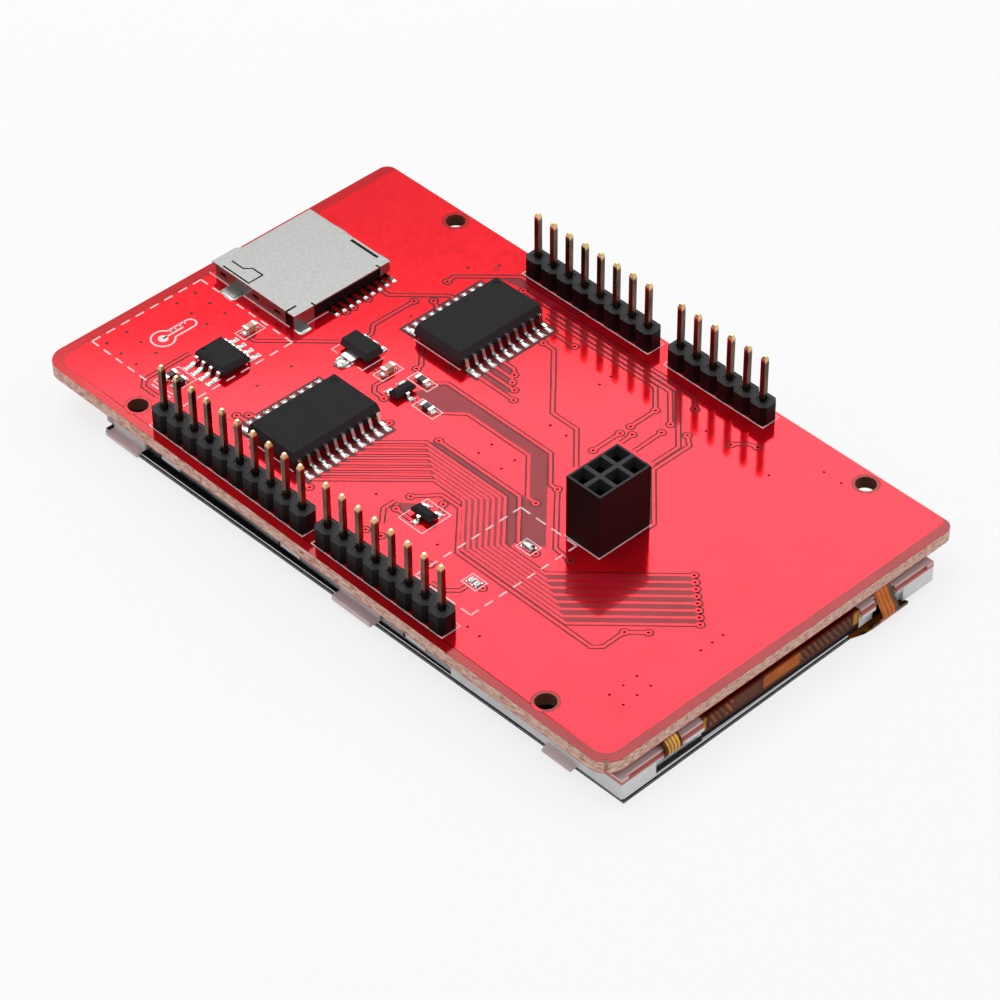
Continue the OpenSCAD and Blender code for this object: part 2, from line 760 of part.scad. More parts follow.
// Section of each ear, outwards from the frame's side: a foot with a lip, a step, and a wedge
module ear_profile(kind) {
  low = z_front + 0.02;
  if (kind == 0)
    polygon([[0.6, low], [-0.7, low], [-0.8, low - 0.35], [-1.25, low - 0.35], [-1.25, low + 0.1],
             [0, low + 0.08], [0, z_back], [0.6, z_back]]);
  if (kind == 1)
    polygon([[0.6, low], [-1.3, low], [-1.3, low + 0.7], [-0.05, low + 0.6], [0, low + 0.7],
             [0, z_back - 0.3], [0.6, z_back - 0.3]]);
  if (kind == 2)
    polygon([[0.6, low], [-0.6, low], [-0.95, low - 0.12], [-0.95, low + 0.1], [0, low + 0.65], [0.6, low + 0.65]]);
}

module frame_blank() {
  inner = half_w - side_inset;
  // beside the steel walls the frame is narrower, past them it is full width
  span_box([-half_l + side_inset, -inner, z_front], [tray_wall_end, inner, z_tray]);
  span_box([tray_wall_end, -half_w, z_front], [half_l, half_w, z_back]);
}

module light_frame()
  color("white") {
    difference() {
      frame_blank();
      // pocket for the glass cell, from the front
      span_box([cell_start - 0.1, -cell_width / 2 - 0.1, -over],
               [cell_start + array_length + 0.1, cell_width / 2 + 0.1, z_shelf]);
      // window through the shelf
      span_box([window_start, -window_width / 2, 0],
               [window_start + window_length + 3, window_width / 2, z_back + over]);
      // pocket for the light guide, from the back
      span_box([cell_start + 0.4, -guide_width / 2 - 0.1, z_guide],
               [half_l - wall, guide_width / 2 + 0.1, z_back + over]);
      // recess in the back for the tray's plate
      span_box([tray_wall_end - over, -half_w + 1, z_tray], [half_l - wall, half_w - 1, z_back + over]);
      // ledge along the end wall between the corner posts
      span_box([half_l - end_step, -half_w + post, z_back - end_drop],
               [half_l + over, half_w - post, z_back + over]);
      // slot under the end wall, with a higher opening at each end
      span_box([half_l - 0.45, end_gap[0], -over], [half_l + over, end_gap[1], slot_top]);
      for (y = arm_slots)
        span_box([half_l - wall - tiny, y[0], z_guide], [half_l + over, y[1], arm_slot_top]);
      // wall set back behind the display's flex and the touch panel's arm
      for (y = [display_flex_y, tail_arm + [0.2, 0.7]])
        span_box([half_l - flex_recess, y[0] - 0.15, -over], [half_l + over, y[1] + 0.15, z_back + over]);
    }
    // snap hooks that sit in the tray's windows
    for (s = [-1, 1]) for (x = hook_places)
      along_x(x - hook_window / 2 + 0.5, x + hook_window / 2 - 0.1)
        polygon([[s * (half_w - side_inset - tiny), z_front + hook_low + 0.1],
                 [s * (half_w - 0.15), z_front + hook_low + 0.15],
                 [s * (half_w - 0.15), z_front + hook_low + 1], [s * (half_w - side_inset - tiny), z_tray - 0.2]]);
    // ears
    for (s = [0, 1]) mirror([0, s, 0]) for (i = [0:2])
      along_x(ears[i][0], ears[i][1]) translate([-half_w, 0]) ear_profile(i);
  }

// Steel tray over the back of the frame, with three walls and windows for the hooks
module back_tray()
  color("dimgray") difference() {
    outer = half_w - side_inset + steel + 0.02;
    union() {
      span_box([-half_l, -outer, z_tray], [tray_wall_end, outer, z_back]);
      span_box([tray_wall_end - tiny, -half_w + 1.1, z_tray], [half_l - wall - 0.1, half_w - 1.1, z_back]);
      for (s = [0, 1]) mirror([0, s, 0])
        span_box([-half_l, -outer, z_front], [tray_wall_end - 0.1, -outer + steel, z_tray + tiny]);
      span_box([-half_l, -outer, z_front], [-half_l + steel, outer, z_tray + tiny]);
    }
    for (s = [0, 1]) mirror([0, s, 0]) {
      for (x = hook_places)
        span_box([x - hook_window / 2, -half_w - over, z_front + hook_low],
                 [x + hook_window / 2, -half_w + side_inset - 0.02, z_tray + tiny]);
      for (i = [0:1])
        span_box([ears[i][0] - 0.1, -half_w - over, 0], [ears[i][1] + 0.1, -half_w + 0.7, z_back + over]);
    }
  }

module reflector_sheet() color("white") sheet_at(guide_length, guide_width, z_reflector, film_thickness, guide_x());
module light_guide() color("azure") sheet_at(guide_length, guide_width, z_guide, guide_thickness, guide_x());

function guide_x() = cell_start + 0.6 + guide_length / 2;
function filter_x() = cell_start + filter_length / 2;
function film_x() = window_start + 0.1 + (window_length - 0.2) / 2;

module film(z, t) sheet_at(window_length - 0.2, window_width - 0.2, z, t, film_x());
module diffuser_sheet() color("white") film(z_diffuser, film_thickness);
module prism_sheet_lower() color("azure") film(z_prism_lower, film_thickness);
module prism_sheet_upper() color("azure") film(z_prism_upper, film_thickness);
module rear_polarizer() color("darkslategray") film(z_shelf, polarizer_thickness);

module array_glass()
  color("lightblue") sheet_at(array_length, cell_width, z_array, cell_glass, cell_start + array_length / 2);
module filter_glass()
  color("lightblue") sheet_at(filter_length, cell_width, z_filter, cell_glass, filter_x());
module front_polarizer()
  color("black") sheet_at(filter_length - 1, cell_width - 1, z_polarizer, polarizer_thickness, filter_x());

driver_length = 18;
driver_width = 1.2;
driver_height = 0.4;
driver_gap = 0.8;

// Bare driver chip on the glass ledge
module driver_chip()
  color("gray") translate([cell_start + filter_length + driver_gap, -driver_length / 2, z_array - driver_height])
    cube([driver_width, driver_length, driver_height]);

// ---------- light source ----------

lamp_count = 6;
lamp_pitch = 6;
lamp_height = 0.6;
lamp_x = cell_start + 0.6 + guide_length;
lamp_depth = 1;
lamp_width = 3;
flex_thickness = 0.12;
z_flex_top = z_board - 0.02;

// The flexes end flat under the board, the two arms arm_run from the display's end
flex_z = z_flex_top - flex_thickness / 2;
arm_run = 8;
lamp_flex_width = lamp_count * lamp_pitch + 1;

// Leaves through the slot under the end wall and curves up over the wall's edge
module backlight_flex() {
  z = z_guide + flex_thickness / 2;
  x = half_l + flex_thickness / 2 + tiny;
  r = 0.2;
  start = half_l - 2.4;
  color("peru") {
    span_box([lamp_x + 0.02, -lamp_flex_width / 2, z_guide], [start, lamp_flex_width / 2, z_guide + flex_thickness]);
    along_y(backlight_arm[0], backlight_arm[1])
      strip(concat([[start - tiny, z]], bend([x - r, z + r], r, -90, 0),
                   [[x, z_back - end_drop], [x - 0.08, z_back - 0.1], [x - 0.3, z_back + 0.2],
                    [x - 0.65, z_back + 0.5], [x - 1.15, z_back + 0.7], [x - 1.8, flex_z],
                    [half_l - arm_run, flex_z]]),
            flex_thickness);
  }
}

module backlight_lamps()
  color("lightyellow")
    for (i = [0:lamp_count - 1])
      translate([lamp_x + 0.05, (i - (lamp_count - 1) / 2) * lamp_pitch - lamp_width / 2, z_guide + flex_thickness])
        cube([lamp_depth, lamp_width, lamp_height]);

flex_bond_x = cell_start + filter_length + 2.6;
// where the display's flex leaves the tray's back, meets the board and ends, from the display's end
flex_stations = [5, 9, 15];

// Bonded under the glass ledge, folded tight round the end wall, then up to the board
module display_flex() {
  z_low = z_array - flex_thickness / 2;
  z_high = z_back + flex_thickness / 2 + tiny;
  x = half_l - 0.4;
  r = 0.18;
  color("peru") along_y(display_flex_y[0], display_flex_y[1])
    strip(concat([[flex_bond_x, z_low]],
                 bend([x - r, z_low + r], r, -90, 0),
                 bend([x - r, z_high - r], r, 0, 90),
                 [[half_l - flex_stations[0], z_high], [half_l - flex_stations[1], flex_z],
                  [half_l - flex_stations[2], flex_z]]),
          flex_thickness);
}

// ---------- touch panel ----------

touch_length = display_length - 0.8;
touch_width = display_width + 0.2;
border = 1.8;
tail_bond = 2.6;

module turned() rotate(touch_turn) children();

module tail_notch()
  span_box([half_l - tail_bond - 0.2, tail_wide[0] - 0.2, -over],
           [half_l + over, tail_wide[1] + 0.2, z_front + over]);

module ring_sheet(length, width, z, thickness)
  difference() {
    sheet_at(length, width, z, thickness);
    sheet_at(length - 2 * border, width - 2 * border, z - over, thickness + 2 * over);
  }

// Black tape round the panel's edge, with a thick foam strip under the display's glass ledge
module panel_tape()
  color("dimgray") {
    turned() ring_sheet(touch_length - 1, touch_width - 0.5, z_panel_tape, tape_thickness);
    span_box([flex_bond_x, end_gap[0] + 0.15, z_panel_tape],
             [half_l - 0.55, end_gap[1] - 0.15, z_array - flex_thickness - 0.02]);
  }

module touch_glass()
  color("lightcyan") turned() difference() {
    sheet_at(touch_length, touch_width, z_touch_glass, touch_glass_thickness);
    tail_notch();
  }

module touch_spacer()
  color("silver") turned() difference() {
    ring_sheet(touch_length, touch_width, z_spacer, spacer_thickness);
    tail_notch();
  }

module touch_film() color("lightcyan") turned() sheet_at(touch_length, touch_width, 0, touch_film_thickness);

// A wide tail with cut corners bulges out of the panel, and its narrow arm leans back up to the board
module touch_flex() {
  z = touch_film_thickness + flex_thickness / 2;
  x = half_l;
  wide = [[x - tail_bond, z], [x - 0.2, z], [x + 0.35, z + 0.14], [x + 0.75, z + 0.54], [x + 0.9, z + 1.1]];
  arm = [[x + 0.9, z + 1.09], [x + 0.72, z + 1.65], [x + 0.2, z + 2.35], [x - 0.2, z + 3],
         [x - 0.45, z + 3.5], [x - 0.9, z + 3.9], [x - 1.6, z + 4.12], [x - 2.4, flex_z], [x - arm_run, flex_z]];
  color("peru") turned() {
    intersection() {
      along_y(tail_wide[0], tail_wide[1]) strip(wide, flex_thickness);
      linear_extrude(height = z_back)
        polygon([[x - 4, tail_wide[0]], [x - 0.3, tail_wide[0]], [x + 0.8, tail_wide[0] + 2.4],
                 [x + 1.2, tail_wide[0] + 3], [x + 1.2, tail_wide[1] - 1], [x + 0.2, tail_wide[1]],
                 [x - 4, tail_wide[1]]]);
    }
    along_y(tail_arm[0], tail_arm[1]) strip(arm, flex_thickness);
  }
}

// ---------- foam strips between the display and the board ----------

foam_length = display_length * 0.7;
foam_width = 8;
foam_start = -half_l + 3;
foam_y = 13;

module board_tape()
  color("whitesmoke") for (s = [-1, 1])
    translate([foam_start, s * foam_y - foam_width / 2, z_back]) cube([foam_length, foam_width, board_gap]);

circuit_board();
header_10_body();
header_10_pins();
header_8_near_body();
header_8_near_pins();
header_8_far_body();
header_8_far_pins();
header_6_body();
header_6_pins();
program_socket_body();
program_socket_contacts();
card_shell();
card_base();
card_contacts();
card_slider();
card_spring();
card_link();
bus_chip_a_body();
bus_chip_a_leads();
bus_chip_b_body();
bus_chip_b_leads();
sensor_body();
sensor_leads();
regulator_body();
regulator_leads();
transistor_body();
transistor_leads();
monitor_body();
monitor_leads();
resistor_chips();
resistor_ends();
capacitor_chips();
capacitor_ends();
solder_pads();
back_tray();
light_frame();
reflector_sheet();
light_guide();
diffuser_sheet();
prism_sheet_lower();
prism_sheet_upper();
backlight_flex();
backlight_lamps();
rear_polarizer();
array_glass();
filter_glass();
front_polarizer();
driver_chip();
display_flex();
panel_tape();
touch_glass();
touch_spacer();
touch_film();
touch_flex();
board_tape();
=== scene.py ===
"""Looks of the display module: board artwork, solder, flexes, materials, light and camera.

Lengths are in millimetres on the board's own datum (the pin grid's start, the middle between
the header rows, its top face) and become metres in the row frame when a piece is made.
"""
import math

import bpy
from mathutils import Matrix, Vector
from mathutils.geometry import tessellate_polygon


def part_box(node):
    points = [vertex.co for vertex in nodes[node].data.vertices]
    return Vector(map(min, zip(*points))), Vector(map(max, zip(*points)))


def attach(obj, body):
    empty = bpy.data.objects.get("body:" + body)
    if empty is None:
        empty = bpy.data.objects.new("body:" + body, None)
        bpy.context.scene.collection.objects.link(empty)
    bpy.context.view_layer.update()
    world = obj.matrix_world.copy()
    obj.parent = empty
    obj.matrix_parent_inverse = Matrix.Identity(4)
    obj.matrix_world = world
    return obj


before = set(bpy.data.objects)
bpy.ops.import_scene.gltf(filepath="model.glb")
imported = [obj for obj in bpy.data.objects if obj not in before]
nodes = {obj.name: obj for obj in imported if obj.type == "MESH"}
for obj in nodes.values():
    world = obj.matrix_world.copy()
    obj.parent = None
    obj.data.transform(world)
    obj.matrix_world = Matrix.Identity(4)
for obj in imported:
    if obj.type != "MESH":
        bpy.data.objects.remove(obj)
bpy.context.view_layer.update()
MM = 0.001

# ---------- the board's places ----------
board_low, board_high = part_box("circuit_board")
BOARD_L = (board_high[0] - board_low[0]) / MM
BOARD_W = (board_high[1] - board_low[1]) / MM
BOARD_T = (board_high[2] - board_low[2]) / MM
LEFT = 0.17
RIGHT = LEFT + BOARD_L
NEAR = -26.58
FAR = NEAR + BOARD_W
DATUM = Vector((board_low[0] / MM - LEFT, board_low[1] / MM - NEAR, board_high[2] / MM))
PITCH = 2.54
LEAD_PITCH = 1.27
ROW = 24.13
HEADERS = ((18.796, 10, -1), (45.72, 8, -1), (27.94, 8, 1), (50.8, 6, 1))  # first pin, ways, side
SOCKET = (64.897, -1.27)
HOLE_MIDDLE = 46.47
HOLE_REACH = 32.5
HOLES = [(HOLE_MIDDLE + end * HOLE_REACH, side * ROW) for end in (-1, 1) for side in (-1, 1)]
BUS_A = (30.6, 12.15)
BUS_B = (30.6, -12.7)
SENSOR = (14.78, -12.5)
BUS_WAYS = 10


# ---------- mesh making ----------
def place_object(name, data):
    """A new object in the scene that carries this mesh, lamp or camera."""
    obj = bpy.data.objects.new(name, data)
    bpy.context.scene.collection.objects.link(obj)
    return obj


def circle(x, y, r, n=20):
    angles = [2 * math.pi * i / n for i in range(n)]
    return [(x + r * math.cos(a), y + r * math.sin(a)) for a in angles]


def rounded(x0, x1, y0, y1, radii, n=8):
    """A rectangle with a radius for each corner: low-low, high-low, high-high, low-high."""
    out = []
    corners = ((x0, y0, 180), (x1, y0, 270), (x1, y1, 0), (x0, y1, 90))
    for (cx, cy, first), r in zip(corners, radii):
        mx = cx + r if cx == x0 else cx - r
        my = cy + r if cy == y0 else cy - r
        for i in range(n + 1):
            a = math.radians(first + 90 * i / n)
            out.append((mx + r * math.cos(a), my + r * math.sin(a)))
    return out


class Shape:
    """Closed solids gathered into one mesh."""

    def __init__(self):
        self.verts = []
        self.faces = []

    def add(self, verts, faces):
        n = len(self.verts)
        self.verts += [tuple(p) for p in verts]
        self.faces += [tuple(n + i for i in f) for f in faces]

    def prism(self, outline, z0, z1, holes=()):
        """A flat solid with this outline, and holes through it."""
        loops = [list(outline)] + [list(h) for h in holes]
        flat = [p for loop in loops for p in loop]
        n = len(flat)
        verts = [(x, y, z1) for x, y in flat] + [(x, y, z0) for x, y in flat]
        faces = []
        for t in tessellate_polygon([[Vector((x, y, 0)) for x, y in loop] for loop in loops]):
            a, b, c = (flat[i] for i in t)
            up = (b[0] - a[0]) * (c[1] - a[1]) - (b[1] - a[1]) * (c[0] - a[0]) > 0
            t = tuple(t) if up else tuple(reversed(t))
            faces += [t, tuple(n + i for i in reversed(t))]
        start = 0
        for loop in loops:
            m = len(loop)
            area = sum(p[0] * q[1] - q[0] * p[1] for p, q in zip(loop, loop[1:] + loop[:1]))
            outer = loop is loops[0]
            for i in range(m):
                a, b = start + i, start + (i + 1) % m
                wall = (n + a, n + b, b, a)
                faces.append(wall if (area > 0) == outer else tuple(reversed(wall)))
            start += m
        self.add(verts, faces)

    def rect(self, x0, x1, y0, y1, z0, z1):
        self.prism([(x0, y0), (x1, y0), (x1, y1), (x0, y1)], z0, z1)

    def disc(self, x, y, r, z1, n=20):
        self.prism(circle(x, y, r, n), 0.0, z1)

    def ring(self, x, y, r_in, r_out, z0, z1, n=24):
        self.prism(circle(x, y, r_out, n), z0, z1, [circle(x, y, r_in, n)])

    def ribbon(self, points, width, z1, closed=False):
        """A line of even width through the points, with mitred corners."""
        sharpest = 0.35
        pts = [Vector(p) for p in points]
        m = len(pts)
        verts, faces = [], []
        for i, p in enumerate(pts):
            into = (p - pts[i - 1]).normalized() if i or closed else None
            onward = (pts[(i + 1) % m] - p).normalized() if i < m - 1 or closed else into
            into = onward if into is None else into
            across = Vector((-into.y, into.x))
            mitre = (across + Vector((-onward.y, onward.x))).normalized()
            side = mitre * (width / 2 / max(sharpest, mitre.dot(across)))
            for z in (z1, 0.0):
                verts += [(p.x + side.x, p.y + side.y, z), (p.x - side.x, p.y - side.y, z)]
        for i in range(m if closed else m - 1):
            a, b = 4 * i, 4 * ((i + 1) % m)
            faces += [(a + 1, b + 1, b, a), (a + 2, b + 2, b + 3, a + 3)]
            faces += [(a, b, b + 2, a + 2), (a + 3, b + 3, b + 1, a + 1)]
        if not closed:
            e = 4 * (m - 1)
            faces += [(0, 2, 3, 1), (e + 1, e + 3, e + 2, e)]
        self.add(verts, faces)

    def skin(self, verts, n, down=False):
        """A solid from rings of n points, each above the one before, or below it."""
        faces = []
        for start in range(0, len(verts) - n, n):
            for k in range(n):
                a, b = start + k, start + (k + 1) % n
                faces.append((a, b, b + n, a + n))
        faces += [tuple(range(len(verts) - n, len(verts))), tuple(range(n - 1, -1, -1))]
        self.add(verts, [tuple(reversed(f)) for f in faces] if down else faces)

    def spike(self, x, y, profile, n=16):
        """A turned solid that hangs down: profile is (radius, height) from its rim to its tip."""
        self.skin([(px, py, z) for r, z in profile for px, py in circle(x, y, r, n)], n, down=True)

    def mound(self, cx, cy, length, width, turn, levels):
        """A pool on a rectangular pad. levels are (inset, height, shift along the pad)."""
        least = 0.03
        c, s = math.cos(math.radians(turn)), math.sin(math.radians(turn))
        verts = []
        for inset, z, shift in levels:
            half_l = max(least, length / 2 - inset)
            half_w = max(least, width / 2 - inset)
            r = min(half_l, half_w) * 0.6
            for quarter, (sx, sy) in enumerate(((1, 1), (-1, 1), (-1, -1), (1, -1))):
                for step in range(4):
                    a = math.radians(quarter * 90 + step * 30)
                    x = sx * (half_l - r) + r * math.cos(a) + shift
                    y = sy * (half_w - r) + r * math.sin(a)
                    verts.append((cx + c * x - s * y, cy + s * x + c * y, z))
        self.skin(verts, 16)

    def make(self, name, at):
        """This shape as a mesh object, moved by at."""
        mesh = bpy.data.meshes.new(name)
        mesh.from_pydata([((Vector(p) + at) * MM)[:] for p in self.verts], [], self.faces)
        mesh.validate()
        mesh.update()
        return place_object(name, mesh)

    def piece(self, name, mat, smooth=None, at=DATUM):
        obj = self.make(name, at)
        obj.data.materials.append(mat)
        if smooth is not None:
            obj.data.shade_smooth()
            obj.data.set_sharp_from_angle(angle=math.radians(smooth))
        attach(obj, "module")
        return obj


# ---------- materials ----------
WHITE = (1, 1, 1, 1)
MIX_A, MIX_B = 6, 7
SOCKETS = {"color": "Base Color", "rough": "Roughness", "metal": "Metallic", "ior": "IOR",
           "coat": "Coat Weight", "coat_rough": "Coat Roughness", "clear": "Transmission Weight",
           "spec": "Specular IOR Level"}


def srgb(r, g, b):
    def linear(c):
        c /= 255
        return c / 12.92 if c <= 0.04045 else ((c + 0.055) / 1.055) ** 2.4
    return (linear(r), linear(g), linear(b), 1.0)


def shaded(colour, share):
    return tuple(min(1, c * share) for c in colour[:3]) + (1.0,)


class Nodes:
    """A node tree built up one node at a time."""

    def __init__(self, tree):
        self.t = tree

    def node(self, kind, **vals):
        n = self.t.nodes.new(kind)
        for k, v in vals.items():
            setattr(n, k, v)
        return n

    def link(self, a, b):
        self.t.links.new(a, b)

    def feed(self, value, socket):
        """Sets a socket to a plain value, or links an output to it."""
        if isinstance(value, (int, float, tuple)):
            socket.default_value = value
        else:
            self.link(value, socket)

    def math(self, op, *values):
        m = self.node("ShaderNodeMath", operation=op)
        for value, socket in zip(values, m.inputs):
            self.feed(value, socket)
        return m.outputs[0]

    def split(self, vector):
        sep = self.node("ShaderNodeSeparateXYZ")
        self.link(vector, sep.inputs[0])
        return sep.outputs

    def blend(self, fac, a, b):
        """One shader turning into another."""
        n = self.node("ShaderNodeMixShader")
        for value, socket in zip((fac, a, b), n.inputs):
            self.link(value, socket)
        return n.outputs[0]

    def glow(self, kind, strength):
        """White light of this strength, as an emission or a background."""
        n = self.node(kind)
        n.inputs["Color"].default_value = WHITE
        n.inputs["Strength"].default_value = strength
        return n.outputs[0]


class Mat(Nodes):
    """A node material."""

    def __init__(self, name):
        self.m = bpy.data.materials.new(name)
        self.m.use_nodes = True
        super().__init__(self.m.node_tree)
        self.b = self.t.nodes["Principled BSDF"]

    def position(self):
        """X, Y and Z of a point in its object, which at rest is the row frame, in metres."""
        return self.split(self.node("ShaderNodeTexCoord").outputs["Object"])

    def normal(self):
        return self.split(self.node("ShaderNodeNewGeometry").outputs["Normal"])

    def coords(self, stretch=(1, 1, 1), turn=(0, 0, 0)):
        mapping = self.node("ShaderNodeMapping")
        mapping.inputs["Scale"].default_value = stretch
        mapping.inputs["Rotation"].default_value = turn
        self.link(self.node("ShaderNodeTexCoord").outputs["Object"], mapping.inputs["Vector"])
        return mapping.outputs["Vector"]

    def noise(self, scale, detail=3.0, stretch=(1, 1, 1)):
        n = self.node("ShaderNodeTexNoise")
        n.inputs["Scale"].default_value = scale
        n.inputs["Detail"].default_value = detail
        self.link(self.coords(stretch), n.inputs["Vector"])
        return n.outputs["Fac"]

    def wave(self, direction, scale, distortion, turn=(0, 0, 0)):
        n = self.node("ShaderNodeTexWave", wave_type="BANDS", bands_direction=direction)
        n.inputs["Scale"].default_value = scale
        n.inputs["Distortion"].default_value = distortion
        self.link(self.coords(turn=turn), n.inputs["Vector"])
        return n

    def ramp(self, fac, stops):
        r = self.node("ShaderNodeValToRGB")
        e = r.color_ramp.elements
        while len(e) < len(stops):
            e.new(0.5)
        for el, (p, c) in zip(e, stops):
            el.position = p
            el.color = c
        self.link(fac, r.inputs["Fac"])
        return r.outputs["Color"]

    def mottle(self, fac, low, high):
        """A colour that follows a noise from low to high."""
        return self.ramp(fac, [(0.3, low), (0.7, high)])

    def bands(self, fac, start, end, stops):
        """Colours set out in millimetres between start and end."""
        return self.ramp(fac, [((at - start) / (end - start), srgb(*c)) for at, c in stops])

    def mix(self, fac, a, b):
        m = self.node("ShaderNodeMix", data_type="RGBA")
        for value, i in ((fac, 0), (a, MIX_A), (b, MIX_B)):
            self.feed(value, m.inputs[i])
        return m.outputs[2]

    def remap(self, fac, low, high, start=0.3, end=0.7):
        """From low at start to high at end."""
        m = self.node("ShaderNodeMapRange")
        for k, v in (("From Min", start), ("From Max", end), ("To Min", low), ("To Max", high)):
            m.inputs[k].default_value = v
        self.link(fac, m.inputs["Value"])
        return m.outputs["Result"]

    def either(self, mask, low, high):
        """low where the mask is 0 and high where it is 1."""
        return self.remap(mask, low, high, 0, 1)

    def bump(self, height, distance):
        n = self.node("ShaderNodeBump")
        n.inputs["Distance"].default_value = distance
        self.link(height, n.inputs["Height"])
        self.link(n.outputs["Normal"], self.b.inputs["Normal"])

    def set(self, **vals):
        for k, v in vals.items():
            self.feed(v, self.b.inputs[SOCKETS[k]])


def plain(name, colour, rough, vary=0.06, scale=900.0, shade=0.12, bump=0.000004, bump_scale=9000.0, **more):
    """A moulded or cast surface: gentle colour and gloss variation with a fine grain."""
    m = Mat(name)
    m.set(color=m.mottle(m.noise(scale), shaded(colour, 1 - shade), shaded(colour, 1 + shade)),
          rough=m.remap(m.noise(scale * 2.3, 4), rough - vary, rough + vary), **more)
    if bump:
        m.bump(m.noise(bump_scale, 2), bump)
    return m.m


def moulded(name, top, side, rough, spec, grain=0.000003):
    """Black moulding with painted light: its upper faces are painted another tone than its sides, as light
    falls on them.
    """
    m = Mat(name)
    # painted light: upward faces take the top tone, the sides the side tone
    up = m.remap(m.normal()["Z"], 0.0, 1.0, 0.35, 0.8)
    fleck = m.noise(2600, 4)
    walls, upper = (m.mottle(fleck, shaded(tone, 0.86), tone) for tone in (side, top))
    m.set(color=m.mix(up, walls, upper), rough=m.remap(m.noise(4000), rough - 0.06, rough + 0.06), spec=spec)
    m.bump(m.noise(8000, 2), grain)
    return m.m


def pin_material():
    """Plated pins: dark shafts as a painted reflection of dark surroundings, brightening at their tops to a
    pale gold that is partly the plating and partly a painted highlight.
    """
    tip_from, tip_to = (board_high[2] + z * MM for z in (7.9, 8.3))
    m = Mat("gold_pin")
    tip = m.remap(m.position()["Z"], 0.0, 1.0, tip_from, tip_to)
    grain = m.noise(1600, 4, (1, 1, 0.25))
    # painted reflection: the shafts are painted dark; painted highlight: the tops are painted bright pale
    # gold
    painted_dark_shaft = m.mottle(grain, srgb(58, 46, 38), srgb(112, 88, 70))
    end = m.mottle(grain, srgb(206, 166, 116), srgb(232, 200, 156))
    m.set(metal=1.0, color=m.mix(tip, painted_dark_shaft, end), rough=m.remap(m.noise(2600), 0.16, 0.3))
    m.bump(m.noise(4000, 3, (1, 1, 0.3)), 0.000002)
    return m.m


def board_material():
    """Red solder mask over glass weave on the faces, painted darker towards the board's right end as painted
    shade, and the sawn laminate on the edges, with painted shade in the mounting holes.
    """
    film = 0.07 * MM
    bore = 1.8 * MM
    m = Mat("board_red")
    pos = m.position()
    face = m.math("GREATER_THAN", m.math("ABSOLUTE", m.normal()["Z"]), 0.5)
    filmed = m.math("MAXIMUM", m.math("GREATER_THAN", pos["Z"], board_high[2] - film),
                    m.math("LESS_THAN", pos["Z"], board_low[2] + film))
    blotch = m.noise(260)
    # painted shade: the red is painted darker towards the right end of the board
    left = m.mottle(blotch, srgb(182, 14, 22), srgb(194, 18, 26))
    right = m.mottle(blotch, srgb(126, 8, 15), srgb(138, 11, 19))
    red = m.mix(m.remap(pos["X"], 0.0, 1.0, -25 * MM, 25 * MM), left, right)
    edge = m.ramp(m.noise(1700, 5, (0.8, 0.8, 3)),
                  [(0.3, srgb(150, 98, 82)), (0.45, srgb(210, 164, 146)), (0.7, srgb(240, 214, 200))])
    side = m.mix(filmed, edge, srgb(190, 60, 66))
    # painted shade: the bored sides of the mounting holes are painted darker, as in a recess
    away = []
    for axis, middle, reach in (("X", DATUM.x + HOLE_MIDDLE, HOLE_REACH), ("Y", DATUM.y, ROW)):
        off = m.math("ABSOLUTE", m.math("SUBTRACT", pos[axis], middle * MM))
        off = m.math("SUBTRACT", off, reach * MM)
        away.append(m.math("MULTIPLY", off, off))
    hole_wall_shade = m.math("LESS_THAN", m.math("SQRT", m.math("ADD", *away)), bore)
    side = m.mix(hole_wall_shade, side, srgb(98, 62, 48))
    m.set(color=m.mix(face, side, red), rough=m.either(face, 0.75, 0.12), metal=m.either(face, 0.0, 0.15),
          coat=m.either(face, 0.0, 0.125), coat_rough=0.03, spec=0.1)
    weave_x, weave_y = (m.wave(axis, 420, 0.6).outputs["Fac"] for axis in "XY")
    m.bump(m.math("MULTIPLY", weave_x, weave_y), 0.0000015)
    return m.m


def mask_material(name, low, high, metal, rough=0.1, coat=0.125):
    """Solder mask: a red varnish with a hard gloss, over copper that shines through it."""
    m = Mat(name)
    m.set(color=m.mottle(m.noise(180), low, high),
          rough=m.remap(m.noise(1200, 4), rough - 0.02, rough + 0.03),
          metal=metal, spec=0.1, coat=coat, coat_rough=0.03)
    m.bump(m.noise(1500), 0.0000006)
    return m.m


def metal(name, dark, light, rough, scale=1200.0, stretch=(1, 1, 1), bump=0.000002, vary=0.08):
    m = Mat(name)
    m.set(metal=1.0, color=m.mottle(m.noise(scale, 4, stretch), dark, light),
          rough=m.remap(m.noise(scale * 1.7, 4, stretch), rough - vary, rough + vary))
    m.bump(m.noise(scale * 3, 3, stretch), bump)
    return m.m


def glass(name, tint, rough):
    m = Mat(name)
    m.set(color=m.mottle(m.noise(120, 2), shaded(tint, 0.97), tint),
          rough=m.remap(m.noise(400), rough, rough + 0.03), clear=1.0, ior=1.5)
    return m.m


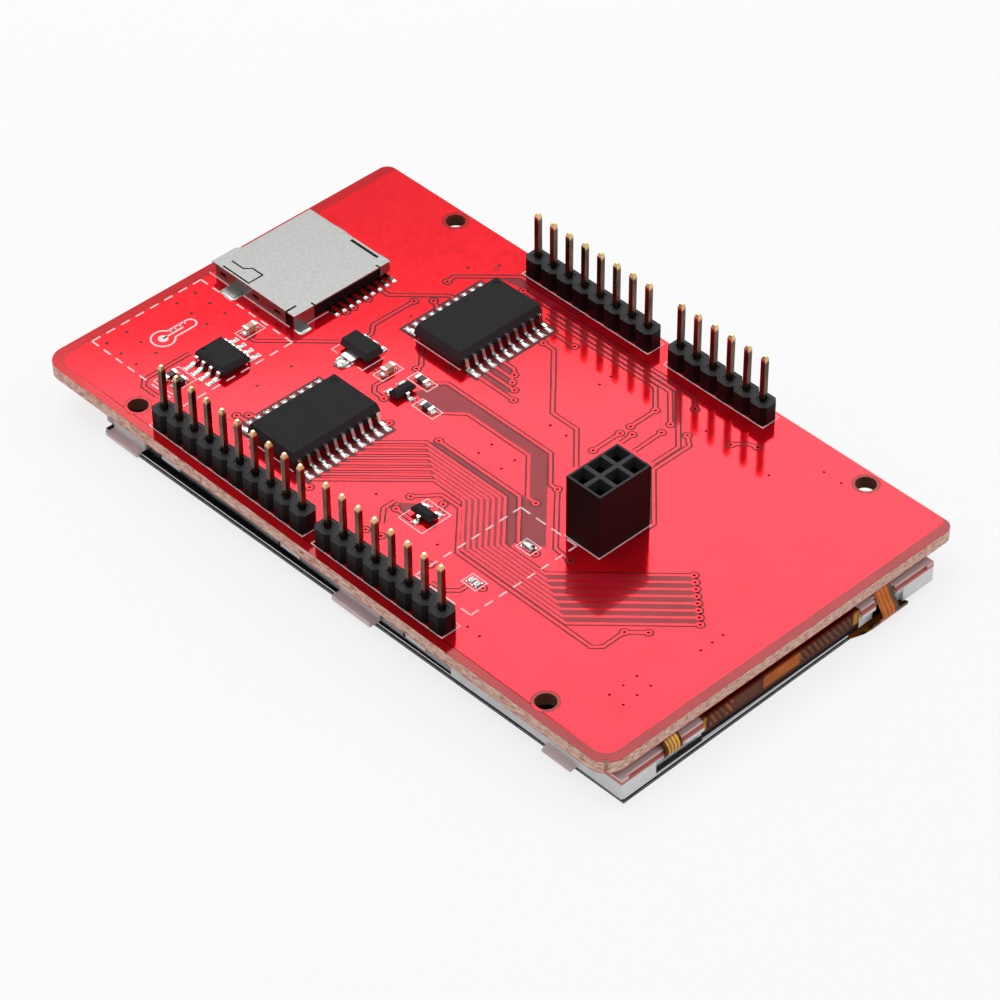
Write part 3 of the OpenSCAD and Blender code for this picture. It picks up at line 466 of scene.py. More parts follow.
def flex_material(name, start, end, stops, creases=(), low=None, rim=(74, 10, 6)):
    """Amber film over copper: colours set out across its width, and a rim along its low edge.

    A creased flex has slanting creases in the stretches that creases names, painted darker as painted shade
    in the folds, and at its top a painted shadow of the board, dark red with the board's reflected red. On
    the display flex the dark red rim is painted shade at its lower bend; the touch flex's amber rim is its
    own edge colour.
    """
    m = Mat(name)
    pos = m.position()
    place = m.remap(pos["Y"], 0.0, 1.0, start * MM, end * MM)
    base = m.bands(place, start, end, stops)
    if creases:
        mask = m.ramp(place, [((y - start) / (end - start), (v, v, v, 1)) for y, v in creases])
        wave = m.wave("Y", 480, 3.5, (-0.55, 0, 0))
        wave.inputs["Detail"].default_value = 2
        wave.inputs["Detail Scale"].default_value = 0.7
        # painted shade in the creases
        crease_shade_painted = m.math("MULTIPLY", m.remap(wave.outputs["Fac"], 1.0, 0.0, 0.3, 0.62), mask)
        base = m.mix(crease_shade_painted, base, srgb(44, 20, 8))
    base = m.mix(m.remap(m.noise(700, 4), 0.0, 0.35), base, srgb(70, 34, 14))
    if creases:
        # painted shadow of the board at the top of a creased flex, dark red with its reflected red
        base = m.mix(m.remap(pos["Z"], 0.0, 0.9, 3.55 * MM, 3.75 * MM), base, srgb(84, 4, 6))
    # the low rim: painted shade at the display flex's lower bend, the touch flex's own amber edge
    if low:
        edge = m.remap(pos["Z"], 1.0, 0.0, low[0] * MM, low[1] * MM)
        base = m.mix(edge, base, srgb(*rim))
    m.set(color=base, rough=m.remap(m.noise(900), 0.2, 0.34), spec=0.05, metal=0.12)
    return m.m


def lines_across(at, width, line, ground, margin):
    """Stops for copper lines over a flex: each line sharp against the ground."""
    stops = [margin[0], (at[0] - width, ground)]
    for y in at:
        stops += [(y - width / 2, line), (y + width / 2, line), (y + width, ground)]
    return stops + [margin[1]]


def frame_material():
    """White moulding with a painted reflection of the board's red on its top and its ears, and at its end
    below the board painted bands of that reflection and of the board's shadow.
    """
    end_face = 38 * MM
    low, high = 2.9, 4.1
    m = Mat("white_plastic")
    pos = m.position()
    # painted reflection: the top and the ears that stick out are painted with the board's red
    upper = m.remap(pos["Z"], 0.0, 0.85, 3.1 * MM, 3.5 * MM)
    outside = m.remap(m.math("ABSOLUTE", pos["Y"]), 0.0, 0.5, 23.6 * MM, 23.9 * MM)
    ivory = m.mottle(m.noise(700), srgb(220, 220, 222), srgb(230, 230, 231))
    red_reflection_painted = m.mix(m.math("MAXIMUM", upper, outside), ivory, srgb(206, 158, 154))
    # painted reflection and painted shadow: the end that looks out below the board is painted in bands of the
    # board's reflected red, dark red where the board's shadow falls
    bands = m.bands(m.remap(pos["Z"], 0.0, 1.0, low * MM, high * MM), low, high, (
        (2.9, (226, 226, 227)), (2.96, (214, 190, 188)), (3.02, (186, 100, 94)), (3.38, (192, 112, 106)),
        (3.46, (228, 202, 198)), (3.74, (216, 190, 186)), (3.82, (84, 6, 10)), (4.1, (72, 4, 8))))
    reflection_and_shadow_painted = m.math("MULTIPLY", m.math("GREATER_THAN", pos["X"], end_face),
                      m.math("GREATER_THAN", pos["Z"], low * MM))
    m.set(color=m.mix(reflection_and_shadow_painted, red_reflection_painted, bands), rough=m.remap(m.noise(1500), 0.36, 0.48))
    m.bump(m.noise(4000, 2), 0.000003)
    return m.m


def panel_glass(name, tint, dark, light):
    """Clear sheet whose rim is painted: painted shade makes its edge faces dark with a painted highlight
    along their top, and its top dark where it ends in a ledge, with a painted highlight near the very end.
    """
    ledge = 39.0 * MM
    end_highlight_from = 40.45 * MM
    m = Mat(name)
    up = m.normal()["Z"]
    pos = m.position()
    # painted shade on the rim, and painted highlights along its top and near the end
    wall = m.math("LESS_THAN", m.math("ABSOLUTE", up), 0.5)
    end = m.math("MULTIPLY", m.math("GREATER_THAN", up, 0.5), m.math("GREATER_THAN", pos["X"], ledge))
    rim = m.math("MAXIMUM", wall, end)
    wall_highlight_painted = m.math("MULTIPLY", wall, m.remap(pos["Z"], 0.0, 1.0, 0.6 * MM, 0.66 * MM))
    end_highlight_painted = m.math("MULTIPLY", end, m.math("GREATER_THAN", pos["X"], end_highlight_from))
    clear = m.mottle(m.noise(120, 2), shaded(tint, 0.97), tint)
    edge = m.mix(m.math("MAXIMUM", wall_highlight_painted, end_highlight_painted), dark, light)
    m.set(color=m.mix(rim, clear, edge), rough=m.either(rim, 0.03, 0.3), clear=m.math("SUBTRACT", 1.0, rim),
          spec=m.either(rim, 0.5, 0.04), ior=1.5)
    return m.m


DISPLAY_FLEX = [
    (-11.4, (196, 140, 30)), (-11.0, (190, 128, 30)), (-10.9, (60, 28, 10)), (-10.5, (54, 26, 10)),
    (-10.4, (150, 82, 30)), (-8.2, (124, 64, 26)), (-7.8, (186, 96, 32)), (-7.2, (176, 90, 32)),
    (-6.9, (100, 54, 30)), (-2.8, (94, 50, 28)), (-2.6, (48, 20, 8)), (-2.3, (188, 98, 20)),
    (2.7, (194, 100, 18)), (3.4, (128, 68, 26)), (10.9, (112, 60, 26)), (11.2, (60, 28, 10)),
    (11.4, (214, 142, 52)), (12.2, (190, 120, 40))]
DISPLAY_CREASES = [(-11.4, 0), (-10.5, 0.8), (-7.2, 0.9), (-6.8, 0.1), (2.9, 0.05), (3.5, 1.0),
                   (11.0, 0.9), (11.3, 0)]
LAMP_FLEX = lines_across((-16.75, -16.28, -15.82, -15.38), 0.17, (255, 190, 96), (112, 58, 18),
                         [(-17.4, (66, 34, 14)), (-14.9, (84, 44, 16))])
TOUCH_FLEX = [(12.8, (24, 30, 38)), (13.0, (168, 122, 34)), (13.5, (150, 100, 30)), (13.7, (20, 24, 30))]
TOUCH_FLEX += lines_across((14.85, 15.45, 16.05, 16.6), 0.24, (236, 124, 44), (124, 98, 84),
                           [(14.3, (26, 30, 36)), (18.7, (18, 24, 28))])

M = {
    "board": board_material(),
    "pour": mask_material("mask_over_copper", srgb(221, 12, 28), srgb(228, 16, 33), 0.62),
    "gap": mask_material("mask_over_gap", srgb(92, 7, 15), srgb(110, 10, 20), 0.0, 0.3, 0.07),
    "etch": mask_material("mask_over_laminate", srgb(140, 14, 28), srgb(156, 18, 34), 0.0, 0.3, 0.12),
    "track": mask_material("mask_over_track", srgb(224, 15, 32), srgb(232, 20, 38), 0.58, 0.12),
    "silk": plain("silk_white", srgb(236, 206, 208), 0.55, bump_scale=6000),
    "plastic": moulded("black_plastic", srgb(52, 52, 54), srgb(9, 9, 10), 0.5, 0.12),
    "pin": pin_material(),
    "socket_steel": metal("socket_steel", srgb(124, 124, 123), srgb(134, 134, 133), 0.34, 2600,
                          bump=0.000001, vary=0.02),
    "ivory": plain("ivory_plastic", srgb(222, 210, 182), 0.45),
    "spring": metal("spring_steel", srgb(120, 120, 122), srgb(176, 176, 178), 0.3),
    "chip": moulded("chip_plastic", srgb(15, 15, 17), srgb(52, 52, 56), 0.55, 0.12, 0.000006),
    "tin": metal("bright_tin", srgb(200, 198, 195), srgb(230, 228, 225), 0.2, 2200, bump=0.000001, vary=0.05),
    "solder": metal("solder", srgb(166, 165, 163), srgb(198, 197, 195), 0.14, 1500,
                    bump=0.0000006, vary=0.05),
    "resistor": moulded("resistor_black", srgb(18, 18, 22), srgb(30, 30, 34), 0.35, 0.3),
    "capacitor": plain("capacitor_tan", srgb(178, 150, 118), 0.45, scale=2000),
    "tray": metal("tray_steel", srgb(122, 124, 126), srgb(150, 152, 154), 0.34, 500, (0.3, 1, 1)),
    "white": frame_material(),
    "film": plain("white_film", srgb(232, 234, 238), 0.3, 0.05, 700, 0.04, 0),
    "clear": glass("clear_plastic", srgb(236, 240, 240), 0.05),
    "polarizer": plain("polarizer", srgb(12, 13, 15), 0.16, 0.04, 500, 0.3, 0),
    "display_flex": flex_material("display_flex", -11.4, 12.2, DISPLAY_FLEX, DISPLAY_CREASES, (1.9, 2.2)),
    "lamp_flex": flex_material("lamp_flex", -17.4, -14.9, LAMP_FLEX),
    "touch_flex": flex_material("touch_flex", 10.5, 19.1, TOUCH_FLEX, low=(0.3, 0.42), rim=(150, 84, 26)),
    "lamp": plain("lamp", srgb(236, 226, 160), 0.4, 0.05, 2500, 0.08),
    "cell": glass("cell_glass", srgb(150, 170, 168), 0.04),
    "silicon": metal("silicon", srgb(60, 62, 70), srgb(96, 98, 108), 0.22, 900),
    "tape": plain("tape", srgb(8, 8, 9), 0.7, scale=1200, shade=0.2, spec=0.1),
    "touch_glass": panel_glass("touch_glass", srgb(214, 226, 224), srgb(12, 12, 13), srgb(250, 252, 253)),
    "touch_film": panel_glass("touch_film", srgb(224, 230, 232), srgb(22, 22, 23), srgb(22, 22, 23)),
    "print": metal("silver_print", srgb(150, 152, 156), srgb(196, 198, 202), 0.4, 1500),
    "foam": plain("foam_tape", srgb(222, 222, 218), 0.8, 0.05, 3000, 0.08, 0.00002, 6000),
    "hole": plain("via_dark", srgb(58, 2, 8), 0.6, 0.05, 3000, 0.2, bump=0, spec=0.06),
}

NODE_MATERIALS = {
    "board": ["circuit_board"],
    "plastic": ["header_10_body", "header_8_near_body", "header_8_far_body", "header_6_body",
                "program_socket_body", "card_base"],
    "pin": ["header_10_pins", "header_8_near_pins", "header_8_far_pins", "header_6_pins",
            "program_socket_contacts", "card_contacts"],
    "socket_steel": ["card_shell"],
    "ivory": ["card_slider"],
    "spring": ["card_spring", "card_link"],
    "chip": ["bus_chip_a_body", "bus_chip_b_body", "sensor_body", "regulator_body", "transistor_body",
             "monitor_body"],
    "tin": ["bus_chip_a_leads", "bus_chip_b_leads", "sensor_leads", "regulator_leads", "transistor_leads",
            "monitor_leads", "resistor_ends", "capacitor_ends"],
    "solder": ["solder_pads"],
    "resistor": ["resistor_chips"],
    "capacitor": ["capacitor_chips"],
    "tray": ["back_tray"],
    "white": ["light_frame"],
    "film": ["reflector_sheet", "diffuser_sheet"],
    "clear": ["light_guide", "prism_sheet_lower", "prism_sheet_upper"],
    "lamp_flex": ["backlight_flex"],
    "display_flex": ["display_flex"],
    "touch_flex": ["touch_flex"],
    "lamp": ["backlight_lamps"],
    "polarizer": ["rear_polarizer", "front_polarizer"],
    "cell": ["array_glass", "filter_glass"],
    "silicon": ["driver_chip"],
    "tape": ["panel_tape"],
    "touch_glass": ["touch_glass"],
    "print": ["touch_spacer"],
    "touch_film": ["touch_film"],
    "foam": ["board_tape"],
}
for key, names in NODE_MATERIALS.items():
    for name in names:
        node = nodes[name]
        if not node.material_slots:
            node.data.materials.append(M[key])
        for s in node.material_slots:
            s.link = "OBJECT"
            s.material = M[key]


# ---------- board artwork ----------
POUR_Z = 0.006
FIELD_Z = 0.009
GAP_Z = 0.012
GAP_STEP = 0.0004
OPEN_Z = GAP_Z + 0.002
TRACK_Z = 0.02
RING_Z = TRACK_Z + 0.004
SILK_Z = 0.045
TRACK = 0.26
BUS = 0.24
MARGIN = 0.28
PAD_END = 6.1
TENTED = 25

pour = Shape()
pour_edge = rounded(LEFT + 1.48, RIGHT - 1.2, NEAR + 1.15, FAR - 0.1, (1.8, 1.8, 0.9, 0.9))
pour.prism(pour_edge, 0.0, POUR_Z, [circle(x, y, 1.55, 28) for x, y in HOLES])
pour.piece("copper_pour", M["pour"])

rims = Shape()
for x, y in HOLES:
    rims.ring(x, y, 1.53, 1.62, 0.0, 0.01, 36)
rims.piece("hole_rims", M["gap"])


def lead_places(middle, count):
    """Places of a row of leads, centred on the middle."""
    return [middle + (k - (count - 1) / 2) * LEAD_PITCH for k in range(count)]


lines = []
ringed = []


def track(*points, start=False, end=False, width=TRACK):
    lines.append((points, width))
    if start:
        ringed.append(points[0])
    if end:
        ringed.append(points[-1])


# data bus from the lower chip to the flex's connector pads
for k in range(8):
    x0, y0 = BUS_B[0] + PAD_END, lead_places(BUS_B[1], BUS_WAYS)[7 - k]
    y1 = -5.43 - 0.52 * k
    x1 = x0 + (y1 - y0)
    x2 = 53.4 - 0.38 * k
    y2 = -10.85 - 0.535 * k
    x3 = x2 + (y1 - y2)
    x4 = 65.1 + k
    y5 = 0.3 - 0.714 * k
    x5 = x4 + y5 - y2
    track((x0 - 0.3, y0), (x0 + 0.1, y0), (x1, y1), (x2, y1), (x3, y2), (x4, y2), (x5, y5),
          end=True, width=BUS)

# control lines from the upper chip
pads = [(BUS_A[0] + PAD_END, y) for y in lead_places(BUS_A[1], BUS_WAYS)]
track((34.3, 21.3), (55.88, 21.3), (57.38, 19.8), end=True)
track((29.0, 20.7), (53.8, 20.7), (60.6, 13.9), (60.6, 9.9), start=True)
track((33.9, 20.0), (53.3, 20.0), (57.3, 16.0), end=True)
track((34.3, 19.35), (51.65, 19.35), (54.5, 16.5), end=True)
track(pads[9], (40.3, pads[9][1]), end=True)
track((37.4, 15.8), (39.1, 15.8), (46.9, 8.0), (50.7, 8.0), (55.2, 3.5), start=True)
track(pads[3], (38.4, pads[3][1]), (39.2, 9.5), end=True)
track(pads[2], (39.4, pads[2][1]), (40.0, 8.45), end=True)
track(pads[1], (41.1, pads[1][1]), end=True)
track(pads[0], (42.3, pads[0][1]), end=True)
track((54.5, 12.6), (54.5, 16.5), start=True)
track((54.5, 10.95), (54.5, 6.8), start=True, end=True)
track((55.7, 9.9), (55.6, 11.75), end=True)
track((57.7, 9.9), (57.6, 14.3), end=True)
track((59.9, 16.0), (61.3, 14.9), (61.3, 9.3), (67.6, 3.0), (67.6, 0.1), start=True)
track((64.3, 18.35), (65.4, 19.7), (66.6, 20.1), start=True, end=True)

# card socket, regulator and chip support lines
track((21.7, 15.6), (21.5, 16.8), (27.0, 22.3), (36.0, 22.3), (36.7, 23.0), start=True)
track((24.5, 14.05), (23.8, 14.05), (18.75, 9.05), (17.3, 9.05))
track((23.2, 12.05), (24.5, 11.5), start=True)
track((21.7, 10.4), (21.6, 4.2), (22.7, 2.95), (22.7, 2.3), start=True)
track((13.2, -7.4), (14.4, -7.4), (21.2, -0.6))
track((23.8, -16.4), (24.6, -15.9), start=True)
track((22.9, -17.4), (24.6, -17.15), start=True)
track((11.0, -14.1), (11.0, -20.7), (11.9, -21.6), (14.2, -21.6))
track((25.9, -1.0), (28.6, -1.0))
track((29.7, -0.9), (29.7, -2.95), (30.45, -3.7), (32.1, -3.75), end=True)
track((34.2, -1.6), (36.0, -1.5))
track((37.9, -1.2), (38.6, -0.6), (40.5, 1.2), (50.2, 1.2), (55.1, -3.7), (56.4, -3.75), end=True)
track((33.9, 1.9), (35.1, 3.15), (51.6, 3.15), (55.3, -0.5), (56.4, -0.5))
track((56.4, -0.5), (63.1, -7.3), (65.5, -7.5), start=True, end=True)
track((35.6, -6.1), (35.9, -6.9), start=True)
track((41.6, -4.25), (54.4, -4.25), (59.5, -9.35), (60.3, -9.35), start=True)
track((46.2, -12.7), (48.4, -10.15), (51.3, -10.15), (56.3, -15.2), (76.5, -15.2), (77.3, -14.3),
      (77.3, -11.15), (79.1, -9.4), start=True, end=True)
ringed.append((77.3, -11.15))
track((49.6, -11.05), (50.6, -12.3), start=True)
track((45.6, -14.3), (45.6, -16.1), (47.3, -17.9))
track((46.6, -15.2), (49.2, -15.2), start=True)
track((31.2, -19.57), (37.5, -19.57), end=True)
track((28.2, 5.7), (30.7, 3.2), (30.8, 2.4), end=True)
track((60.8, -17.9), (60.8, -19.1), (59.8, -20.1), (57.7, -20.5))
ringed += [(17.75, 6.85), (17.75, 4.65), (17.75, 3.5), (33.4, 5.2), (46.8, -19.8), (48.7, -19.3),
           (55.7, -18.65), (62.2, -9.4), (62.2, -17.15)]

# first-pin marks moulded into the chips
marks = Shape()
for name, x, y in (("bus_chip_a_body", 26.0, BUS_A[1] + 7.1), ("bus_chip_b_body", 26.0, BUS_B[1] + 7.1),
                   ("sensor_body", 12.4, -10.5)):
    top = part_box(name)[1][2] / MM - DATUM.z
    marks.ring(x, y, 0.26, 0.36, top, top + 0.012)
marks.piece("first_pin_marks", M["plastic"])

gaps = Shape()
tracks = Shape()
vias = Shape()
# painted shade: dark discs where the vias' holes are
via_hole_shade = Shape()
for i, (points, width) in enumerate(lines):
    # neighbours overlap, so each lies a hair lower than the one before
    gaps.ribbon(points, width + 2 * MARGIN, GAP_Z - GAP_STEP * (i % 9))
    tracks.ribbon(points, width, TRACK_Z)
for cx, cy in (BUS_A, BUS_B):
    for side in (-1, 1):
        x0, x1 = sorted((cx + side * (PAD_END + 0.4), cx + side * 3.9))
        gaps.rect(x0, x1, cy - 6.45, cy + 6.45, 0.0, 0.008)
for x, y in ringed:
    gaps.disc(x, y, 0.66, GAP_Z + 0.001)
    vias.ring(x, y, 0.19, 0.38, 0.0, RING_Z)
    via_hole_shade.disc(x, y, 0.2, 0.022, 14)

# stitching vias, which the pour surrounds; those near the sensor lie under the mask
stitched = [(x, y) for x in (3.1, 5.65, 8.3) for y in (-6.6, -9.35, -16.8, -19.7)]
stitched += [(20.7, -7.4), (20.6, -12.4), (23.7, 22.0), (21.5, 19.1), (23.4, 8.3), (46.1, -0.5),
             (49.7, -0.5), (46.1, -2.5), (49.7, -2.5), (43.3, -15.1), (53.9, -15.9), (46.9, 17.1),
             (47.0, 15.2), (48.2, 6.4), (50.7, 6.4), (65.4, -22.3), (67.3, -22.4), (60.8, 18.0),
             (70.7, 17.6), (74.5, 22.3), (77.0, 22.3)]
stitched += [(84.7, y) for y in (-4.1, -5.7, -7.4)]
stitched += [(x, y) for x in (82.8, 84.8) for y in (-14.85, -16.8, -18.8)]
for x, y in stitched:
    if x < TENTED:
        gaps.disc(x, y, 0.24, GAP_Z + 0.001, 14)
    else:
        vias.ring(x, y, 0.17, 0.34, 0.0, 0.012)
        via_hole_shade.disc(x, y, 0.19, 0.013, 14)
gaps.piece("mask_gaps", M["gap"])

# fields the copper pour leaves out
fields = Shape()
for outline in (
        [(33.4, -0.7), (34.9, 2.7), (35.2, 2.95), (51.5, 2.95), (62.3, -7.9), (59.7, -9.2), (54.6, -4.1),
         (55.0, -3.6), (50.1, 1.4), (40.4, 1.4), (37.9, -1.0)],
        [(40.9, -5.2), (41.5, -4.5), (54.3, -4.5), (59.5, -9.7), (59.5, -10.6), (58.5, -10.6), (53.1, -5.2)],
        [(36.9, 10.3), (38.5, 10.3), (39.1, 9.5), (38.7, 9.0), (36.9, 9.0)],
        [(36.9, 8.9), (39.2, 8.9), (40.3, 8.2), (39.7, 7.7), (36.9, 7.9)],
        [(36.9, 7.6), (40.8, 7.6), (41.1, 6.9), (36.9, 6.6)],
        [(25.0, 20.3), (27.2, 22.0), (36.2, 22.0), (37.6, 21.6), (33.9, 21.6), (32.9, 20.9), (28.6, 20.9)],
        [(45.9, -14.3), (47.6, -12.9), (47.9, -12.9), (47.9, -15.0), (46.7, -15.0)]):
    fields.prism(outline, 0.0, FIELD_Z)
# between the bus lines the laminate is bare, over their gaps
upper = [(40.8, -5.43), (53.4, -5.43), (58.82, -10.85), (65.1, -10.85), (76.25, 0.3)]
lower = [(46.05, -9.07), (50.74, -9.07), (56.27, -14.6), (72.1, -14.6), (82.0, -4.7)]
for i in range(len(upper) - 1):
    fields.prism([upper[i], upper[i + 1], lower[i + 1], lower[i]], 0.0, OPEN_Z)
fields.piece("bare_fields", M["etch"])
tracks.piece("tracks", M["track"])
vias.piece("via_rings", M["track"])
via_hole_shade.piece("via_hole_shade", M["hole"])

# ---------- silkscreen ----------
THIN = 0.13
silk = Shape()


def corners(x0, x1, y0, y1):
    return [(x0, y0), (x1, y0), (x1, y1), (x0, y1)]


def dashed(p, q, dash=1.2, gap=0.9, width=0.2):
    p, q = Vector(p), Vector(q)
    length = (q - p).length
    n = max(1, round((length + gap) / (dash + gap)))
    step = (length + gap) / n
    d = (q - p).normalized()
    for i in range(n):
        s = p + d * (i * step)
        silk.ribbon([s, s + d * (step - gap)], width, SILK_Z)


boxes = [(first - 1.3, first + PITCH * (count - 1) + 1.3, side * ROW - 1.3, side * ROW + 1.3)
         for first, count, side in HEADERS]
boxes += [(SOCKET[0] - 2.6, SOCKET[0] + 2.6, SOCKET[1] - 3.87, SOCKET[1] + 3.87)]
boxes += [(11.9, 13.5, -8.15, -5.05), (11.95, 15.1, -20.2, -16.55), (28.2, 29.8, -1.85, 1.3),
          (31.3, 34.6, 0.5, 2.1), (35.15, 38.45, -2.3, -0.7), (47.8, 51.5, -15.95, -11.7),
          (59.85, 62.0, -10.05, -8.35), (59.85, 62.0, -18.0, -16.3)]
for box in boxes:
    silk.ribbon(corners(*box), THIN, SILK_Z, closed=True)
for box in ((1.7, 17.6, -20.7, -4.55), (55.8, 64.35, -20.9, -5.4)):
    a, b, c, d = corners(*box)
    for p, q in ((a, b), (d, c), (a, d), (b, c)):
        dashed(p, q)
for points in ([(1.3, -2.95), (15.3, -2.95)], [(16.3, -2.95), (16.3, 2.1)],
               [(21.6, -0.9), (21.6, -2.15), (22.6, -2.15)], [(26.0, -2.15), (26.8, -2.15), (26.8, 1.1)],
               [(26.8, 5.75), (34.4, 5.75)], [(26.8, -19.15), (34.4, -19.15)]):
    silk.ribbon(points, THIN, SILK_Z)


def thermometer(x, y, bulb, stem, height):
    """Its outline, the filled bulb and column, and four marks. bulb is a radius, stem half a width."""
    open_at = math.asin(stem / bulb)
    span = 2 * math.pi - 2 * open_at
    turns = [math.pi / 2 - open_at - span * i / 28 for i in range(29)]
    outline = [(x + bulb * math.cos(a), y + bulb * math.sin(a)) for a in turns]
    arch = [math.pi * i / 10 for i in range(11)]
    outline += [(x - stem * math.cos(a), y + height + stem * math.sin(a)) for a in arch]
    silk.ribbon(outline, 0.22, SILK_Z, closed=True)
    silk.disc(x, y, 0.62, SILK_Z)
    silk.ribbon([(x, y), (x, y + 3.0)], 0.24, SILK_Z)
    for i in range(4):
        mark = y + 3.6 - 0.7 * i
        silk.ribbon([(x - stem - 0.05, mark), (x - 0.3, mark)], 0.16, SILK_Z)


thermometer(6.94, -14.62, 1.4, 0.72, 4.0)
silk.piece("silkscreen", M["silk"])

# ---------- solder ----------
POOL = [(0.0, 0.0, 0.0), (0.02, 0.1, 0.0), (0.1, 0.16, -0.04), (0.22, 0.2, -0.1)]
CONE = [(0.85, 0.0), (0.8, -0.08), (0.55, -0.2), (0.42, -0.36), (0.36, -0.52)]
REGULATOR_X = 24.3
CARD = (1.8, -2.85)
solder = Shape()


def pool(x, y, length, width, turn, lift=1.0):
    """A pool of solder, thicker with lift."""
    solder.mound(x, y, length, width, turn, [(inset, z * lift, shift) for inset, z, shift in POOL])


def turned(u, v, turn):
    c, s = math.cos(math.radians(turn)), math.sin(math.radians(turn))
    return c * u - s * v, s * u + c * v


for cx, cy in (BUS_A, BUS_B):
    for y in lead_places(cy, BUS_WAYS):
        for side, turn in ((1, 0), (-1, 180)):
            pool(cx + side * 5.1, y, 2.0, 0.64, turn)
for x in lead_places(SENSOR[0], 4):
    for side, turn in ((1, 90), (-1, 270)):
        pool(x, SENSOR[1] + side * 2.95, 1.75, 0.66, turn)
pool(REGULATOR_X, -2.9, 2.0, 1.5, 270, 2.2)
for x in (-1.5, 0, 1.5):
    pool(REGULATOR_X + x, 1.85, 1.15, 0.78, 90, 1.6)
# packages with three leads, then chip resistors and capacitors
for cx, cy, turn in ((32.9, -1.65, 0), (49.65, -13.85, -90)):
    for u, v, more in ((1.3, 0, 0), (-1.3, 0.95, 180), (-1.3, -0.95, 180)):
        dx, dy = turned(u, v, turn)
        pool(cx + dx, cy + dy, 0.85, 0.8, turn + more, 1.3)
for cx, cy, turn in ((36.8, -1.5, 0), (14.3, -18.35, 90), (12.75, -18.35, 90), (32.95, 1.3, 0),
                     (29, -0.25, 90), (12.7, -6.6, 90)):
    for side, more in ((1, 0), (-1, 180)):
        dx, dy = turned(side * 0.86, 0, turn)
        pool(cx + dx, cy + dy, 0.66, 0.92, turn + more, 1.9)
# feet and contacts of the card socket
for x0, x1, y, turn in ((3.2, 5.3, -0.75, 270), (3.2, 5.3, 15.4, 90), (10.6, 12.6, 15.4, 90)):
    pool(CARD[0] + (x0 + x1) / 2, CARD[1] + y, 1.9, x1 - x0 + 0.5, turn, 0.75)
pool(CARD[0] + 14.85, CARD[1] + 0.75, 1.5, 1.9, 0, 0.75)
for i in range(9):
    pool(CARD[0] + 15.1, CARD[1] + 5.3 + 1.1 * i, 1.6, 0.62, 0)
# bridged and open link pads
pool(60.92, -9.2, 1.5, 0.95, 0, 2.6)
for x in (60.5, 61.35):
    pool(x, -17.15, 0.66, 1.0, 0, 1.5)
solder.piece("solder_pools", M["solder"], smooth=70)

joints = Shape()
pins = [(first + PITCH * i, side * ROW) for first, count, side in HEADERS for i in range(count)]
pins += [(SOCKET[0] + i * PITCH / 2, SOCKET[1] + j * PITCH) for i in (-1, 1) for j in (-1, 0, 1)]
for x, y in pins:
    joints.spike(x, y, [(r, z - BOARD_T) for r, z in CONE])
joints.piece("pin_solder", M["solder"], smooth=60)

# a thin black strip across the end, between the touch panel and the light frame
frame_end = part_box("light_frame")[1][0] / MM
foam = Shape()
foam.rect(frame_end - 0.05, frame_end + 0.02, -18.5, -11.9, 1.3, 2.1)
foam.piece("end_black_strip", M["tape"], at=Vector((0, 0, 0)))

# ---------- stage, light and camera ----------
floor_shape = Shape()
floor_shape.prism(circle(0, 0, 1500, 48), -1.0, -0.02)
floor = floor_shape.make("floor", Vector((0, 0, 0)))
fm = Mat("floor_white")
fm.set(color=fm.mottle(fm.noise(6, 2), (0.80, 0.80, 0.80, 1), (0.82, 0.82, 0.82, 1)), rough=0.9, spec=0.1)
path = fm.node("ShaderNodeLightPath").outputs
seen = fm.math("MAXIMUM", path["Is Camera Ray"], path["Is Glossy Ray"])
shown = fm.blend(fm.math("MULTIPLY", seen, 0.78), fm.b.outputs[0], fm.glow("ShaderNodeEmission", 1.0))
fm.link(shown, fm.t.nodes["Material Output"].inputs["Surface"])
floor.data.materials.append(fm.m)

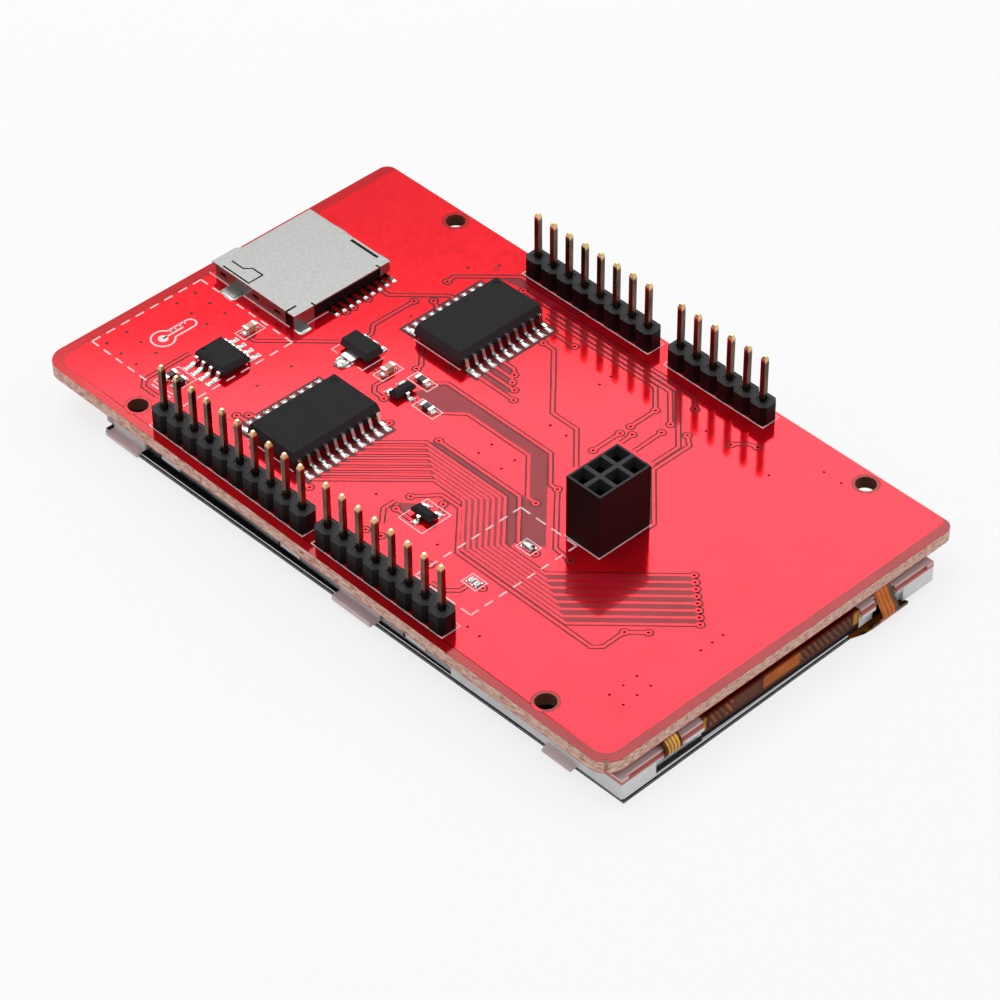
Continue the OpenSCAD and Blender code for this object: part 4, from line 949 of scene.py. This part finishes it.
world = bpy.data.worlds.new("studio")
bpy.context.scene.world = world
world.use_nodes = True
sky = Nodes(world.node_tree)
for old in list(sky.t.nodes):
    sky.t.nodes.remove(old)
path = sky.node("ShaderNodeLightPath").outputs
seen = sky.math("MAXIMUM", path["Is Camera Ray"], path["Is Glossy Ray"])
seen = sky.math("MAXIMUM", seen, path["Is Transmission Ray"])
shown = sky.blend(seen, sky.glow("ShaderNodeBackground", 0.5), sky.glow("ShaderNodeBackground", 1.0))
sky.link(shown, sky.node("ShaderNodeOutputWorld").inputs["Surface"])


def area(name, size, place, power):
    light = bpy.data.lights.new(name, "AREA")
    light.shape = "RECTANGLE"
    light.size, light.size_y = size
    light.energy = power
    obj = place_object(name, light)
    obj.location = place
    return obj


for name, size, place, power in (("key", (0.5, 0.5), (-0.25, -0.1, 0.7), 2.2),
                                 ("fill", (0.5, 0.4), (0.35, 0.45, 0.45), 0.8)):
    area(name, size, place, power).rotation_euler = (-Vector(place)).to_track_quat("-Z", "Y").to_euler()


def softbox(name, place, turn, size, fade, power):
    """A flat panel overhead that the board's gloss mirrors, with one edge that fades out."""
    obj = area(name, size, place, power)
    obj.rotation_euler = (0, 0, turn)
    obj.data.use_nodes = True
    lamp = Nodes(obj.data.node_tree)
    fall = lamp.node("ShaderNodeMapRange", interpolation_type="SMOOTHSTEP")
    fall.inputs["From Max"].default_value = fade / size[0]
    across = lamp.split(lamp.node("ShaderNodeNewGeometry").outputs["Parametric"])["X"]
    lamp.link(across, fall.inputs["Value"])
    lamp.link(fall.outputs["Result"], lamp.t.nodes["Emission"].inputs["Strength"])


softbox("panel", (-0.525, 0.501, 0.7), math.radians(-39.6), (0.34, 0.55), 0.06, 3.0)

CAMERA_PLACE = (0.23301, -0.22104, 0.28548)
cam = bpy.data.cameras.new("camera")
camera = place_object("camera", cam)
cam.sensor_width = 36
cam.lens = 140.61
cam.clip_start = 0.01
cam.clip_end = 20
azimuth, elevation, roll = (math.radians(v) for v in (46.6932, 41.553, -0.4714))
flat = Vector((math.cos(azimuth), math.sin(azimuth), 0))
outward = Vector((math.sin(azimuth), -math.cos(azimuth), 0))
back = outward * math.cos(elevation) + Vector((0, 0, math.sin(elevation)))
right = flat * math.cos(roll) + back.cross(flat) * math.sin(roll)
axes = Matrix((right, back.cross(right), back)).transposed().to_4x4()
camera.matrix_world = Matrix.Translation(Vector(CAMERA_PLACE)) @ axes
bpy.context.scene.camera = camera
bpy.context.scene.view_settings.view_transform = "Standard"
